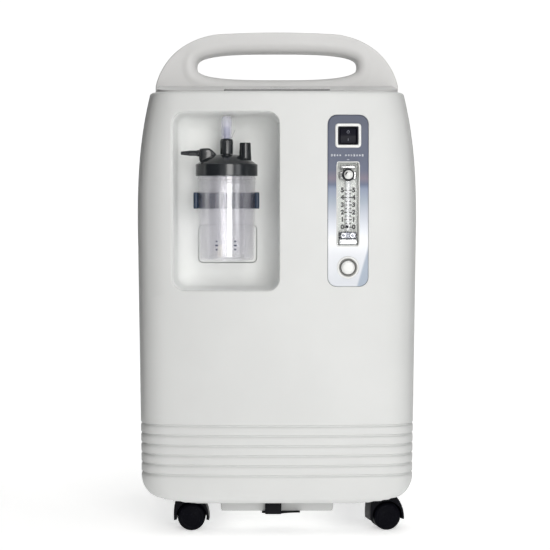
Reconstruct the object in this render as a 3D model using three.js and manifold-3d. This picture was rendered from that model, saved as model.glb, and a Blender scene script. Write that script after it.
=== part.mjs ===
// Oxygen concentrator on four swivel casters: two moulded covers under a roof with a carrying arch,
// a humidifier bottle clipped in a niche, a control panel with switch, flowmeter and oxygen outlet,
// and the compressor, sieve beds, valves and fan that make the oxygen.
// Millimetres, +Z up, the front faces -Y, and the origin is on the floor under the middle of the outer box.
import * as THREE from "three";
import { mergeVertices } from "three/addons/utils/BufferGeometryUtils.js";
import Module from "manifold-3d";

const wasm = await Module();
wasm.setup();

// ---------------------------------------------------------------- driving dimensions
const GAP = 0.3; // clearance between pieces that rest on or in each other
const WALL = 3; // wall of the moulded covers

// Casing
const WIDTH = 360; // widest part of the covers
const DEPTH = 375; // front of the bulge to the flat back
const HEIGHT = 656; // floor to the top of the handle
const RIM_Z = HEIGHT - 89; // top edge of the covers
const SKIRT_Z = 37; // bottom edge of the covers
const WAIST_Z = RIM_Z - 167; // height of the widest part
const TOP_TUCK = 17; // how far each side leans in at the rim
const BOTTOM_TUCK = 4.5; // how far each side leans in at the skirt
const BULGE = 9; // how far the middle of the front stands before its corners
const FRONT_CORNER = 38; // size of the front vertical corners
const REAR_CORNER = 30; // size of the rear vertical corners
const SKIRT_ROUND_X = 60; // width of the rounding under each side
const SKIRT_ROUND_Z = 35; // height of the rounding under each side
const SKIRT_FILLET = 14; // rounding under the front and back
const RIM_FILLET = 5; // rounding of the top edge
const GROOVES = 6;
const GROOVE_TOP_Z = 143;
const GROOVE_PITCH = 12.7;
const GROOVE_WIDTH = 4.5;
const GROOVE_DEPTH = 1.8;

// Roof and carrying arch
const ROOF_INSET = 7.5; // edge of the roof inside the outer face of the covers
const ROOF_RISE = 16; // ridge above the rim
const ARCH_THICKNESS = 60;
const ARCH_HALF_WIDTH = 164; // at its foot, which stands on the rim of the covers
const GRIP_HALF_WIDTH = 109; // of the hand opening
const GRIP_HEIGHT = 36.5;
const GRIP_BAR = 28; // bar above the hand opening
const ARCH_WALL = 3;

// Display window in the roof
const LENS_WIDTH = 134;
const LENS_DEPTH = 30;
const LENS_BOW = 16; // how far the middle of its rear edge bows back
const LENS_THICKNESS = 2;

// Humidifier niche
const NICHE_X = -65;
const NICHE_Z = RIM_Z - 139.5;
const NICHE_WIDTH = 136;
const NICHE_HEIGHT = 227;
const NICHE_DEPTH = 96;
const NICHE_CORNER = 16;
const NICHE_COVE = 18; // rounding between the niche's walls and its back
const NICHE_WALL = 2.5;
const HATCH_WIDTH = 76;
const HATCH_HEIGHT = 49;
const HATCH_DROP = 56; // hatch centre below the niche's centre

// Humidifier bottle
const JAR_RADIUS = 37.5;
const JAR_FOOT_RADIUS = 35;
const JAR_HEIGHT = 107; // below the lid
const JAR_WALL = 2;
const LID_RADIUS = 40;
const LID_RING = 15.5;
const LID_DOME = 12.5;
const BOTTLE_TOP_CLEARANCE = 3.5; // dust cap to the niche's ceiling
const DUST_CAP_HEIGHT = 29.5;
const FITTING_HEIGHT = 20;
const CLIP_HEIGHT = 21;
const CLIP_WALL = 3;
const CLIP_DROP = 21; // top of the clip below the lid
const CLIP_POST = 6; // clip to the niche's back

// Control panel
const PANEL_X = 90;
const PANEL_Z = RIM_Z - 139;
const PANEL_WIDTH = 51.5;
const PANEL_HEIGHT = 217;
const PANEL_CORNER = 12;
const PANEL_THICKNESS = 1.2;
const SWITCH_RISE = 82.4; // switch centre above the panel's centre
const SWITCH_WIDTH = 33;
const SWITCH_HEIGHT = 30.7;
const ROCKER_WIDTH = 21;
const ROCKER_HEIGHT = 18.4;
const ROCKER_TILT = 8; // degrees to either side
const METER_DROP = 4.1; // flowmeter centre below the panel's centre
const METER_WIDTH = 26;
const METER_HEIGHT = 104;
const METER_DEPTH = 25;
const BEZEL_LIP = 1.7;
const TUBE_FOOT_RISE = 21; // float seat above the flowmeter's lower end
const TUBE_LENGTH = 58;
const TUBE_RADIUS = 2.9;
const FLOAT_RADIUS = 2;
const KNOB_DROP = 15; // knob axis below the flowmeter's upper end
const KNOB_RADIUS = 8;
const KNOB_PROUD = 14; // knob in front of the middle of the front
const OUTLET_DROP = 84.4; // oxygen outlet below the panel's centre
const OUTLET_RADIUS = 14.5;
const OUTLET_CUP_RADIUS = 11.2;
const OUTLET_CAP_RADIUS = 8.5;

// Back of the casing
const DOOR_WIDTH = 170;
const DOOR_HEIGHT = 150;
const DOOR_Z = RIM_Z - 162;
const DOOR_THICKNESS = 3;
const DOOR_GAP = 1;
const BAY_DEPTH = 20;
const FILTER_THICKNESS = 14;
const INLET_X = -95;
const INLET_Z = 190;
const BREAKER_X = -50;
const BREAKER_RADIUS = 8;
const BUTTON_PROUD = 2.5; // reset button behind the back

// Running gear
const CASTER_X = 126;
const CASTER_INSET = 57.5; // stem axis from the front and back of the covers
const WHEEL_RADIUS = 18;
const CASTER_TRAIL = 15;
const HOOD_HALF_LENGTH = WHEEL_RADIUS + 5;
const HOOD_WIDTH = 30;
const HOOD_TOP_Z = 50;
const WEB_THICKNESS = 4;
const STEM_RADIUS = 5;
const STEM_LENGTH = 22;
const CASTER_YAWS = [0, 12, 24, -20]; // degrees at rest: front left, front right, rear left, rear right

// Chassis and tray
const DECK_Z = 57; // underside of the chassis plate
const DECK_THICKNESS = 2;
const TRAY_WIDTH = 150;
const TRAY_TAPER = 4;
const TRAY_INSET = 60; // from the front and back of the covers
const TRAY_Z = 22;
const BAFFLE_X = -4.8;
const BAFFLE_WIDTH = 21;

// Inside
const MOUNT_HEIGHT = 22;
const COMPRESSOR_HALF_LENGTH = 112;
const COMPRESSOR_RADIUS = 50;
const FAN_SIZE = 120;
const FAN_THICKNESS = 25;
const BED_RADIUS = 33;
const BED_HEIGHT = 340;
const TANK_RADIUS = 26;
const TANK_HEIGHT = 260;

// ---------------------------------------------------------------- places worked out from them
const FRONT_Y = KNOB_PROUD - (DEPTH + KNOB_PROUD + BUTTON_PROUD) / 2; // middle of the front
const REAR_Y = FRONT_Y + DEPTH;
const SEAM_Y = (FRONT_Y + REAR_Y) / 2; // the covers and the roof part here
const CAVITY_Z = SKIRT_Z + WALL;
const RIDGE_Z = RIM_Z + ROOF_RISE;
const NICHE_BACK_Y = FRONT_Y + NICHE_DEPTH;
const BOTTLE_X = NICHE_X;
const BOTTLE_Y = NICHE_BACK_Y - CLIP_POST - CLIP_WALL - JAR_RADIUS - 0.5;
const CAP_TOP_Z = NICHE_Z + NICHE_HEIGHT / 2 - BOTTLE_TOP_CLEARANCE;
const FITTING_Z = CAP_TOP_Z - DUST_CAP_HEIGHT - FITTING_HEIGHT;
const LID_Z = FITTING_Z - LID_DOME - LID_RING;
const JAR_Z = LID_Z - JAR_HEIGHT;
const CLIP_TOP_Z = LID_Z - CLIP_DROP;
const METER_Z = PANEL_Z - METER_DROP;
const METER_TOP_Z = METER_Z + METER_HEIGHT / 2;
const METER_FOOT_Z = METER_Z - METER_HEIGHT / 2;
const SWITCH_Z = PANEL_Z + SWITCH_RISE;
const OUTLET_Z = PANEL_Z - OUTLET_DROP;
const CHASSIS_TOP_Z = DECK_Z + DECK_THICKNESS;
const COMPRESSOR_FOOT_Z = CHASSIS_TOP_Z + MOUNT_HEIGHT + 2 * GAP;
const COMPRESSOR_Y = SEAM_Y - 22;
const COMPRESSOR_AXIS_Z = COMPRESSOR_FOOT_Z + 4 + COMPRESSOR_RADIUS + 6;
const FAN_Z = COMPRESSOR_AXIS_Z + COMPRESSOR_RADIUS + 34; // foot of the fan over the compressor
const FRAME_Y = SEAM_Y + 40;

// ---------------------------------------------------------------- shape helpers
// A closed geometry as a manifold-3d solid, turned outside out if its faces point in.
function solid(geometry) {
  const bare = geometry.index ? geometry.toNonIndexed() : geometry.clone();
  bare.deleteAttribute("normal");
  bare.deleteAttribute("uv");
  const merged = mergeVertices(bare, 1e-4);
  const corners = merged.index.array;
  const kept = [];
  for (let i = 0; i < corners.length; i += 3) {
    const [a, b, c] = [corners[i], corners[i + 1], corners[i + 2]];
    if (a !== b && b !== c && a !== c) kept.push(a, b, c);
  }
  const make = (order) =>
    new wasm.Manifold(
      new wasm.Mesh({
        numProp: 3,
        vertProperties: new Float32Array(merged.attributes.position.array),
        triVerts: new Uint32Array(order),
      }),
    );
  const made = make(kept);
  return made.volume() < 0 ? make(kept.reverse()) : made;
}

// A manifold-3d solid as a flat-shaded geometry.
function geometryOf(shape) {
  const mesh = shape.getMesh();
  const made = new THREE.BufferGeometry();
  made.setAttribute("position", new THREE.BufferAttribute(mesh.vertProperties, 3));
  made.setIndex(new THREE.BufferAttribute(mesh.triVerts, 1));
  const flat = made.toNonIndexed();
  flat.computeVertexNormals();
  return flat;
}

function box(x0, x1, y0, y1, z0, z1) {
  const made = new THREE.BoxGeometry(x1 - x0, y1 - y0, z1 - z0);
  return solid(made.translate((x0 + x1) / 2, (y0 + y1) / 2, (z0 + z1) / 2));
}

// A solid of revolution about +Z from [radius, height] pairs that start and end on the axis or close up.
function turned(profile, sides = 20) {
  const points = profile.map(([r, z]) => new THREE.Vector2(r, z));
  return solid(new THREE.LatheGeometry(points, sides).rotateX(Math.PI / 2));
}

// A cylinder or cone along +Z from z0 to z1.
function rod(radius, z0, z1, sides = 16, topRadius = radius) {
  return turned([[0, z0], [radius, z0], [topRadius, z1], [0, z1]], sides);
}

// The same solid with its +Z turned to -Y, so that what rose now points to the front.
const toFront = (shape) => shape.rotate([90, 0, 0]);
// The same solid with its +Z turned to +X.
const toRight = (shape) => shape.rotate([0, 90, 0]);

// An outline in x and z, extruded along Y from y0 to y1.
function slabY(points, y0, y1) {
  const made = new THREE.ExtrudeGeometry(new THREE.Shape(points), {
    depth: y1 - y0,
    bevelEnabled: false,
  });
  return solid(made.rotateX(Math.PI / 2).translate(0, y1, 0));
}

// An outline in y and z, extruded along X from x0 to x1.
function slabX(points, x0, x1) {
  const made = new THREE.ExtrudeGeometry(new THREE.Shape(points), {
    depth: x1 - x0,
    bevelEnabled: false,
  });
  const turn = new THREE.Matrix4().makeBasis(
    new THREE.Vector3(0, 1, 0),
    new THREE.Vector3(0, 0, 1),
    new THREE.Vector3(1, 0, 0),
  );
  return solid(made.applyMatrix4(turn).translate(x0, 0, 0));
}

// An outline in x and y, extruded from z0 to z1.
function slabZ(points, z0, z1) {
  const made = new THREE.ExtrudeGeometry(new THREE.Shape(points), {
    depth: z1 - z0,
    bevelEnabled: false,
  });
  return solid(made.translate(0, 0, z0));
}

const outlineOf = (pairs) => pairs.map(([a, b]) => new THREE.Vector2(a, b));

// A rectangle with round corners about (cx, cy).
function roundRect(cx, cy, width, height, corner, divisions = 4) {
  const [a, b] = [width / 2 - corner, height / 2 - corner];
  const path = new THREE.Path();
  path.absarc(cx + a, cy + b, corner, 0, Math.PI / 2);
  path.absarc(cx - a, cy + b, corner, Math.PI / 2, Math.PI);
  path.absarc(cx - a, cy - b, corner, Math.PI, 1.5 * Math.PI);
  path.absarc(cx + a, cy - b, corner, 1.5 * Math.PI, 2 * Math.PI);
  return path.getPoints(divisions).slice(0, -1);
}

// A closed solid through rings of points, each ring fanned shut at the two ends.
function loft(rings) {
  const count = rings[0].length;
  const middle = (ring) =>
    ring.reduce((sum, p) => sum.add(p), new THREE.Vector3()).divideScalar(count);
  const [foot, head] = [middle(rings[0]), middle(rings[rings.length - 1])];
  const corners = [];
  for (let i = 0; i < count; i++) {
    const j = (i + 1) % count;
    corners.push(foot, rings[0][j], rings[0][i]);
    corners.push(head, rings[rings.length - 1][i], rings[rings.length - 1][j]);
    for (let k = 0; k + 1 < rings.length; k++) {
      const [a, b, c, d] = [rings[k][i], rings[k][j], rings[k + 1][j], rings[k + 1][i]];
      corners.push(a, b, c, a, c, d);
    }
  }
  return solid(new THREE.BufferGeometry().setFromPoints(corners));
}

// ---------------------------------------------------------------- casing form
// How far a quarter round of the given size has drawn in at a distance past its start.
const drawnIn = (distance, reach, size) =>
  size * (1 - Math.sqrt(Math.max(0, 1 - (Math.min(distance, reach) / reach) ** 2)));

function halfWidth(z) {
  const widest = WIDTH / 2;
  if (z > WAIST_Z) {
    const lean = TOP_TUCK * ((z - WAIST_Z) / (RIM_Z - WAIST_Z)) ** 2.5;
    return widest - lean - drawnIn(Math.max(0, z - RIM_Z + RIM_FILLET), RIM_FILLET, RIM_FILLET);
  }
  const flank = widest - (BOTTOM_TUCK * (WAIST_Z - z)) / (WAIST_Z - SKIRT_Z);
  const below = Math.max(0, SKIRT_Z + SKIRT_ROUND_Z - z);
  return flank - drawnIn(below, SKIRT_ROUND_Z, SKIRT_ROUND_X);
}

// Distance from the seam to the front or back at height z.
function reach(z) {
  const below = Math.max(0, SKIRT_Z + SKIRT_FILLET - z);
  const above = Math.max(0, z - RIM_Z + RIM_FILLET);
  return (
    DEPTH / 2 -
    drawnIn(below, SKIRT_FILLET, SKIRT_FILLET) -
    drawnIn(above, RIM_FILLET, RIM_FILLET)
  );
}

// The covers' plan outline at height z, taken in by inset: flat sides and back, a bowed front.
function plan(z, inset = 0) {
  const w = halfWidth(z) - inset;
  const rear = reach(z) - inset;
  const front = reach(z) - inset;
  const flat = w - FRONT_CORNER;
  const edge = -(front - BULGE);
  const turnY = edge + (2 * BULGE * FRONT_CORNER) / flat;
  const path = new THREE.Path();
  path.moveTo(w, 0);
  path.lineTo(w, rear - REAR_CORNER);
  path.quadraticCurveTo(w, rear, w - REAR_CORNER, rear);
  path.lineTo(REAR_CORNER - w, rear);
  path.quadraticCurveTo(-w, rear, -w, rear - REAR_CORNER);
  path.lineTo(-w, 0);
  path.lineTo(-w, turnY + FRONT_CORNER);
  path.quadraticCurveTo(-w, turnY, -flat, edge);
  path.quadraticCurveTo(0, -(front + BULGE), flat, edge);
  path.quadraticCurveTo(w, turnY, w, turnY + FRONT_CORNER);
  return path.getPoints(4).map((p) => new THREE.Vector2(p.x, p.y + SEAM_Y));
}

// Depth of the front face at x, on the upright part of the front.
function frontFaceY(x) {
  const flat = WIDTH / 2 - FRONT_CORNER;
  return FRONT_Y + BULGE * (x / flat) ** 2;
}

const range = (count, value) => Array.from({ length: count }, (_, i) => value(i));

// Heights of the casing's sections: the skirt's rounding, the upright part and the lean-in to the rim.
const SKIRT_LEVELS = [0, 0.05, 0.2, 0.5, 1].map((t) => SKIRT_Z + t * SKIRT_ROUND_Z);
const LEAN_LEVELS = range(5, (i) => WAIST_Z + ((RIM_Z - RIM_FILLET - WAIST_Z) * (i / 4) ** 0.7));
const RIM_LEVELS = [0.6, 1].map((t) => RIM_Z - RIM_FILLET + t * RIM_FILLET);
const GROOVE_LEVELS = range(GROOVES, (i) => GROOVE_TOP_Z - i * GROOVE_PITCH);

// The casing's outer form taken in by inset, between two heights; lift raises it so that walls stay thick.
function casingForm(inset, low = SKIRT_Z, high = RIM_Z, lift = 0) {
  const levels = [...SKIRT_LEVELS, 250, ...LEAN_LEVELS, ...RIM_LEVELS]
    .map((z) => z + lift)
    .filter((z) => z > low + 1e-6 && z < high - 1e-6);
  return loft(
    [low, ...levels, high].map((z) =>
      plan(z - lift, inset).map((p) => new THREE.Vector3(p.x, p.y, z)),
    ),
  );
}

// The outer form with its grooves, which run round the front and sides and stop before the back.
function groovedForm() {
  const rings = [...SKIRT_LEVELS, 250, ...LEAN_LEVELS, ...RIM_LEVELS].map((z) => [z, 0]);
  for (const z of GROOVE_LEVELS) {
    rings.push([z, 0], [z - GROOVE_WIDTH * 0.35, GROOVE_DEPTH], [z - GROOVE_WIDTH, 0]);
  }
  rings.sort((a, b) => a[0] - b[0]);
  return loft(
    rings.map(([z, depth]) => {
      const cut = plan(z, depth);
      return plan(z).map((p, i) => {
        const at = p.y > SEAM_Y + reach(z) - REAR_CORNER - 1 ? p : cut[i];
        return new THREE.Vector3(at.x, at.y, z);
      });
    }),
  );
}

// ---------------------------------------------------------------- scene graph
const root = new THREE.Group();

const finish = (color, roughness, metalness = 0, opacity = 1) =>
  new THREE.MeshStandardMaterial({ color, roughness, metalness, opacity, transparent: opacity < 1 });
const materials = {
  cover: finish(0xdfe1df, 0.42),
  dark: finish(0x2b2d31, 0.38),
  rubber: finish(0x131316, 0.7),
  clear: finish(0xd9dce4, 0.12, 0, 0.4),
  frost: finish(0xc6c4dc, 0.45, 0, 0.6),
  panel: finish(0x9aa3b4, 0.3, 0.5),
  trim: finish(0xf0f1f1, 0.3),
  steel: finish(0xa9acb0, 0.35, 1),
  cast: finish(0x9b9ea2, 0.5, 1),
  lens: finish(0x101216, 0.08),
  foam: finish(0x2a2c2e, 0.95),
  board: finish(0x1d5b38, 0.5),
  bed: finish(0xc9cbcd, 0.3, 0.9),
};

function add(name, material, shape, parent = root) {
  const mesh = new THREE.Mesh(geometryOf(shape), materials[material]);
  mesh.name = name;
  parent.add(mesh);
  return mesh;
}

function group(x, y, z, yaw = 0, parent = root) {
  const made = new THREE.Group();
  made.position.set(x, y, z);
  made.rotation.z = THREE.MathUtils.degToRad(yaw);
  parent.add(made);
  return made;
}

const CASTER_PLACES = [-1, 1].flatMap((side) =>
  [-1, 1].map((hand) => [
    hand * CASTER_X,
    side < 0 ? FRONT_Y + CASTER_INSET : REAR_Y - CASTER_INSET,
  ]),
);
const HOOD_SWEEP = Math.hypot(CASTER_TRAIL + HOOD_HALF_LENGTH * 0.88, HOOD_WIDTH / 2) + 2;

// ---------------------------------------------------------------- covers
const niche = (grow, y0, y1) =>
  slabY(
    roundRect(
      NICHE_X, NICHE_Z, NICHE_WIDTH + 2 * grow, NICHE_HEIGHT + 2 * grow, NICHE_CORNER + grow,
    ),
    y0,
    y1,
  );
const panelSlab = (grow, y0, y1) =>
  slabY(
    roundRect(
      PANEL_X, PANEL_Z, PANEL_WIDTH + 2 * grow, PANEL_HEIGHT + 2 * grow, PANEL_CORNER + grow,
    ),
    y0,
    y1,
  );
const UPRIGHT_LOW = RIM_Z - 272; // the niche and the panel lie between these heights
const UPRIGHT_HIGH = RIM_Z - RIM_FILLET;
const PANEL_FACE_Y = frontFaceY(PANEL_X);
const METER_FACE_Y = PANEL_FACE_Y - 0.6;

// What passes through the panel: the switch's and the flowmeter's bezels and the outlet's flange.
function panelHoles(grow, y0, y1) {
  const switchHole = roundRect(
    PANEL_X, SWITCH_Z, SWITCH_WIDTH + 2 * grow, SWITCH_HEIGHT + 2 * grow, 4 + grow,
  );
  const meterHole = roundRect(
    PANEL_X, METER_Z, METER_WIDTH + 2 * (BEZEL_LIP + GAP + grow),
    METER_HEIGHT + 2 * (BEZEL_LIP + GAP + grow), 3 + grow,
  );
  const outletHole = toFront(rod(OUTLET_RADIUS + grow, -y1, -y0, 24));
  return slabY(switchHole, y0, y1)
    .add(slabY(meterHole, y0, y1))
    .add(outletHole.translate([PANEL_X, 0, OUTLET_Z]));
}

function covers() {
  const openingX = TRAY_WIDTH / 2 + 5;
  let shell = groovedForm()
    .subtract(casingForm(WALL, CAVITY_Z, RIM_Z - WALL - 1, WALL))
    .subtract(
      box(
        -openingX, openingX, FRONT_Y + TRAY_INSET - 12, REAR_Y - TRAY_INSET + 12,
        SKIRT_Z - 1, CAVITY_Z + 1,
      ),
    )
    .subtract(slabZ(plan(RIM_Z - RIM_FILLET, ROOF_INSET - GAP), RIM_Z - 8, RIM_Z + 1));
  for (const [x, y] of CASTER_PLACES)
    shell = shell.subtract(rod(HOOD_SWEEP, SKIRT_Z - 1, DECK_Z, 24).translate([x, y, 0]));
  const wide = WIDTH;
  const front = box(-wide, wide, FRONT_Y - 20, SEAM_Y - GAP / 2, 0, HEIGHT);
  const rear = box(-wide, wide, SEAM_Y + GAP / 2, REAR_Y + 20, 0, HEIGHT);

  const panelRecess = panelSlab(GAP, FRONT_Y - 20, FRONT_Y + 30).subtract(
    casingForm(PANEL_THICKNESS + GAP, UPRIGHT_LOW, UPRIGHT_HIGH),
  );
  add(
    "front_cover",
    "cover",
    shell
      .intersect(front)
      .subtract(niche(0, FRONT_Y - 20, FRONT_Y + 40))
      .subtract(panelRecess)
      .subtract(panelHoles(GAP, FRONT_Y - 20, FRONT_Y + 30)),
  );

  const bayWidth = DOOR_WIDTH - 16;
  const bayHeight = DOOR_HEIGHT - 16;
  const bayFloorY = REAR_Y - BAY_DEPTH - DOOR_THICKNESS - WALL;
  const doorHole = roundRect(
    0, DOOR_Z, DOOR_WIDTH + 2 * DOOR_GAP, DOOR_HEIGHT + 2 * DOOR_GAP, 1.5, 2,
  );
  let back = shell
    .intersect(rear)
    .add(
      slabY(
        roundRect(0, DOOR_Z, DOOR_WIDTH + 12, DOOR_HEIGHT + 12, 6, 2), bayFloorY, REAR_Y - WALL / 2,
      ),
    )
    .subtract(slabY(doorHole, REAR_Y - DOOR_THICKNESS - GAP, REAR_Y + 1))
    .subtract(
      slabY(roundRect(0, DOOR_Z, bayWidth, bayHeight, 5, 2), bayFloorY + WALL, REAR_Y),
    );
  for (let i = -2; i <= 2; i++) {
    const z = DOOR_Z + i * 25;
    back = back.subtract(box(-60, 60, bayFloorY - 1, bayFloorY + WALL + 1, z - 5, z + 5));
  }
  for (let i = 0; i < 6; i++) {
    const z = GROOVE_TOP_Z - 8 - i * 11;
    back = back.subtract(box(-30, 120, REAR_Y - WALL - 1, REAR_Y + 1, z - 3, z + 2));
  }
  back = back
    .subtract(box(INLET_X - 15, INLET_X + 15, REAR_Y - 9, REAR_Y + 1, INLET_Z - 12, INLET_Z + 12))
    .subtract(
      toFront(rod(BREAKER_RADIUS - 1, -REAR_Y - 1, -REAR_Y + 9)).translate([BREAKER_X, 0, INLET_Z]),
    )
    .subtract(
      slabY(roundRect(INLET_X, INLET_Z, 51, 33, 4, 2), REAR_Y - 1.5 - GAP, REAR_Y + 1),
    )
    .subtract(
      toFront(rod(BREAKER_RADIUS + 3, -REAR_Y - 1, -REAR_Y + 1.5 + GAP)).translate([
        BREAKER_X, 0, INLET_Z,
      ]),
    );
  add("rear_cover", "cover", back);
}

// The air intake door on the back, hung on a barrel along its top edge, and the filter behind it.
function intake() {
  const hingeZ = DOOR_Z + DOOR_HEIGHT / 2 - 1.5;
  const hingeY = REAR_Y - DOOR_THICKNESS / 2;
  let door = slabY(
    roundRect(0, DOOR_Z - 0.75, DOOR_WIDTH, DOOR_HEIGHT - 1.5, 5, 2), REAR_Y - DOOR_THICKNESS, REAR_Y,
  )
    .subtract(box(-DOOR_WIDTH, DOOR_WIDTH, REAR_Y - 9, REAR_Y + 9, hingeZ, hingeZ + 9))
    .add(
      toRight(rod(1.5, -DOOR_WIDTH / 2, DOOR_WIDTH / 2, 12)).translate([0, hingeY, hingeZ]),
    );
  for (let i = -3; i <= 3; i++) {
    const z = DOOR_Z + i * 17 - 2;
    door = door.subtract(box(-68, 68, REAR_Y - 9, REAR_Y + 9, z - 3, z + 3));
  }
  add("filter_door", "cover", door);
  const room = 2 * 8 + 2;
  add(
    "intake_filter",
    "foam",
    slabY(
      roundRect(0, DOOR_Z, DOOR_WIDTH - room, DOOR_HEIGHT - room, 4, 2),
      REAR_Y - DOOR_THICKNESS - BAY_DEPTH + GAP,
      REAR_Y - DOOR_THICKNESS - BAY_DEPTH + GAP + FILTER_THICKNESS,
    ),
  );
}

// The mains inlet, with its three pins in an open cavity, and the breaker with its reset button.
function mains() {
  const at = group(INLET_X, REAR_Y, INLET_Z);
  let inlet = slabY(roundRect(0, 0, 50, 32, 4, 2), -1.5, 0)
    .add(box(-14.5, 14.5, -24, -1, -11.5, 11.5))
    .subtract(slabY(roundRect(0, 0, 24, 16.5, 3, 2), -18, 1));
  for (const [x, z] of [[-7, -1.5], [7, -1.5], [0, 2.5]])
    inlet = inlet.add(box(x - 1, x + 1, -20, -4, z - 2, z + 2));
  add("mains_inlet", "dark", inlet, at);

  const breaker = group(BREAKER_X, REAR_Y, INLET_Z);
  const body = toFront(
    turned(
      [
        [0, 22], [BREAKER_RADIUS - 1.3, 22], [BREAKER_RADIUS - 1.3, 1.5], [BREAKER_RADIUS + 2.5, 1.5],
        [BREAKER_RADIUS + 2.5, 0], [4.4, 0], [4.4, 12], [0, 12],
      ],
      14,
    ),
  );
  add("breaker_body", "dark", body, breaker);
  add("breaker_button", "trim", toFront(rod(4, -BUTTON_PROUD, 8, 12)), breaker);
}

// ---------------------------------------------------------------- roof with the carrying arch
// The arch's outer outline in x and z, taken in by inset: a curved shoulder each side and a crowned top.
function archOutline(inset) {
  const foot = RIM_Z - 12;
  const height = HEIGHT - RIDGE_Z;
  const [w, top] = [ARCH_HALF_WIDTH - inset, HEIGHT - inset];
  const path = new THREE.Path();
  path.moveTo(w, foot);
  path.lineTo(w, RIDGE_Z);
  path.bezierCurveTo(
    w * 0.94, RIDGE_Z + height * 0.575, w * 0.707, top - 1.5, w * 0.42, top - 1.3,
  );
  path.quadraticCurveTo(0, top + 1.3, -w * 0.42, top - 1.3);
  path.bezierCurveTo(
    -w * 0.707, top - 1.5, -w * 0.94, RIDGE_Z + height * 0.575, -w, RIDGE_Z,
  );
  path.lineTo(-w, foot);
  return path.getPoints(8);
}

// The hand opening, a rounded oblong of the form |x/a|^3 + |z/b|^3 = 1.
function gripOutline(grow) {
  const [a, b] = [GRIP_HALF_WIDTH + grow, GRIP_HEIGHT / 2 + grow];
  const z = HEIGHT - GRIP_BAR - GRIP_HEIGHT / 2;
  return range(28, (i) => {
    const [c, s] = [Math.cos((i * Math.PI) / 14), Math.sin((i * Math.PI) / 14)];
    const along = (v) => Math.sign(v) * Math.abs(v) ** (2 / 3);
    return new THREE.Vector2(a * along(c), z + b * along(s));
  });
}

// The roof's side profile in y and z, lowered by drop.
function roofProfile(drop) {
  const [eave, ridge] = [RIM_Z - 2 - drop, RIDGE_Z - drop];
  const half = ARCH_THICKNESS / 2;
  return outlineOf([
    [FRONT_Y, RIM_Z - 12 - drop], [REAR_Y, RIM_Z - 12 - drop], [REAR_Y, eave],
    [SEAM_Y + half, ridge], [SEAM_Y - half, ridge], [FRONT_Y, eave],
  ]);
}

// The display window's outline in x and y: straight along the front, bowed back in the middle.
function lensOutline(grow) {
  const front = FRONT_Y + ROOF_INSET + 4 - grow;
  const rear = front + LENS_DEPTH + 2 * grow;
  const half = LENS_WIDTH / 2 + grow;
  const path = new THREE.Path();
  path.moveTo(-half, front);
  path.lineTo(half, front);
  path.lineTo(half, rear);
  path.lineTo(half * 0.4, rear);
  path.quadraticCurveTo(0, rear + 2 * LENS_BOW, -half * 0.4, rear);
  path.lineTo(-half, rear);
  return path.getPoints(8);
}

function roof() {
  const half = ARCH_THICKNESS / 2;
  const wide = WIDTH;
  const eaves = slabZ(plan(RIM_Z - RIM_FILLET, ROOF_INSET), RIM_Z - 12, HEIGHT);
  const inside = slabZ(plan(RIM_Z - RIM_FILLET, ROOF_INSET + ARCH_WALL), RIM_Z - 20, HEIGHT);
  const shelf = slabX(roofProfile(0), -wide, wide).intersect(eaves);
  const hollow = slabX(roofProfile(ARCH_WALL), -wide, wide).intersect(inside);
  const foot = RIM_Z + GAP;
  const standing = box(-wide, wide, FRONT_Y, REAR_Y, foot, HEIGHT + 10);
  const standingInside = box(-wide, wide, FRONT_Y, REAR_Y, foot + ARCH_WALL, HEIGHT);
  const arch = slabY(archOutline(0), SEAM_Y - half, SEAM_Y + half).intersect(eaves.add(standing));
  const archHollow = slabY(
    archOutline(ARCH_WALL), SEAM_Y - half + ARCH_WALL, SEAM_Y + half - ARCH_WALL,
  )
    .subtract(slabY(gripOutline(ARCH_WALL), SEAM_Y - half, SEAM_Y + half))
    .intersect(inside.add(standingInside));
  const whole = shelf
    .subtract(hollow)
    .add(arch)
    .subtract(archHollow)
    .subtract(hollow)
    .subtract(slabY(gripOutline(0), SEAM_Y - half - 1, SEAM_Y + half + 1));
  const lensTop = slabX(roofProfile(0), -wide, wide);
  const lensFloor = slabX(roofProfile(LENS_THICKNESS), -wide, wide);
  const pocketFloor = slabX(roofProfile(LENS_THICKNESS + GAP), -wide, wide);
  const pocket = slabZ(lensOutline(GAP), RIM_Z - 12, HEIGHT).subtract(pocketFloor);
  const backing = slabZ(lensOutline(2), RIM_Z - 12, HEIGHT)
    .intersect(inside)
    .intersect(slabX(roofProfile(ARCH_WALL - 0.5), -wide, wide))
    .subtract(slabX(roofProfile(ARCH_WALL + 2), -wide, wide));
  const front = box(-wide, wide, FRONT_Y - 20, SEAM_Y - GAP / 2, 0, HEIGHT + 10);
  const rear = box(-wide, wide, SEAM_Y + GAP / 2, REAR_Y + 20, 0, HEIGHT + 10);
  add("handle_front", "cover", whole.intersect(front).add(backing).subtract(pocket));
  add("handle_rear", "cover", whole.intersect(rear));
  add(
    "display_lens",
    "lens",
    slabZ(lensOutline(0), RIM_Z - 12, HEIGHT).intersect(lensTop).subtract(lensFloor),
  );
}

// ---------------------------------------------------------------- humidifier niche, clip and bottle
const nicheRing = (inset, y) =>
  roundRect(
    NICHE_X, NICHE_Z, NICHE_WIDTH - 2 * inset, NICHE_HEIGHT - 2 * inset,
    Math.max(NICHE_CORNER - inset, 4), 3,
  ).map((p) => new THREE.Vector3(p.x, y, p.y));

// The niche's space, coved at the back, grown by grow on every side.
function nicheSpace(grow, startY) {
  const steps = [[0, 1], [0.3, 0.3], [1, 0]]; // share of the cove drawn in, share left
  return loft([
    nicheRing(-grow, startY),
    ...steps.map(([inward, left]) =>
      nicheRing(inward * NICHE_COVE - grow, NICHE_BACK_Y + grow - left * NICHE_COVE),
    ),
  ]);
}

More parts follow.
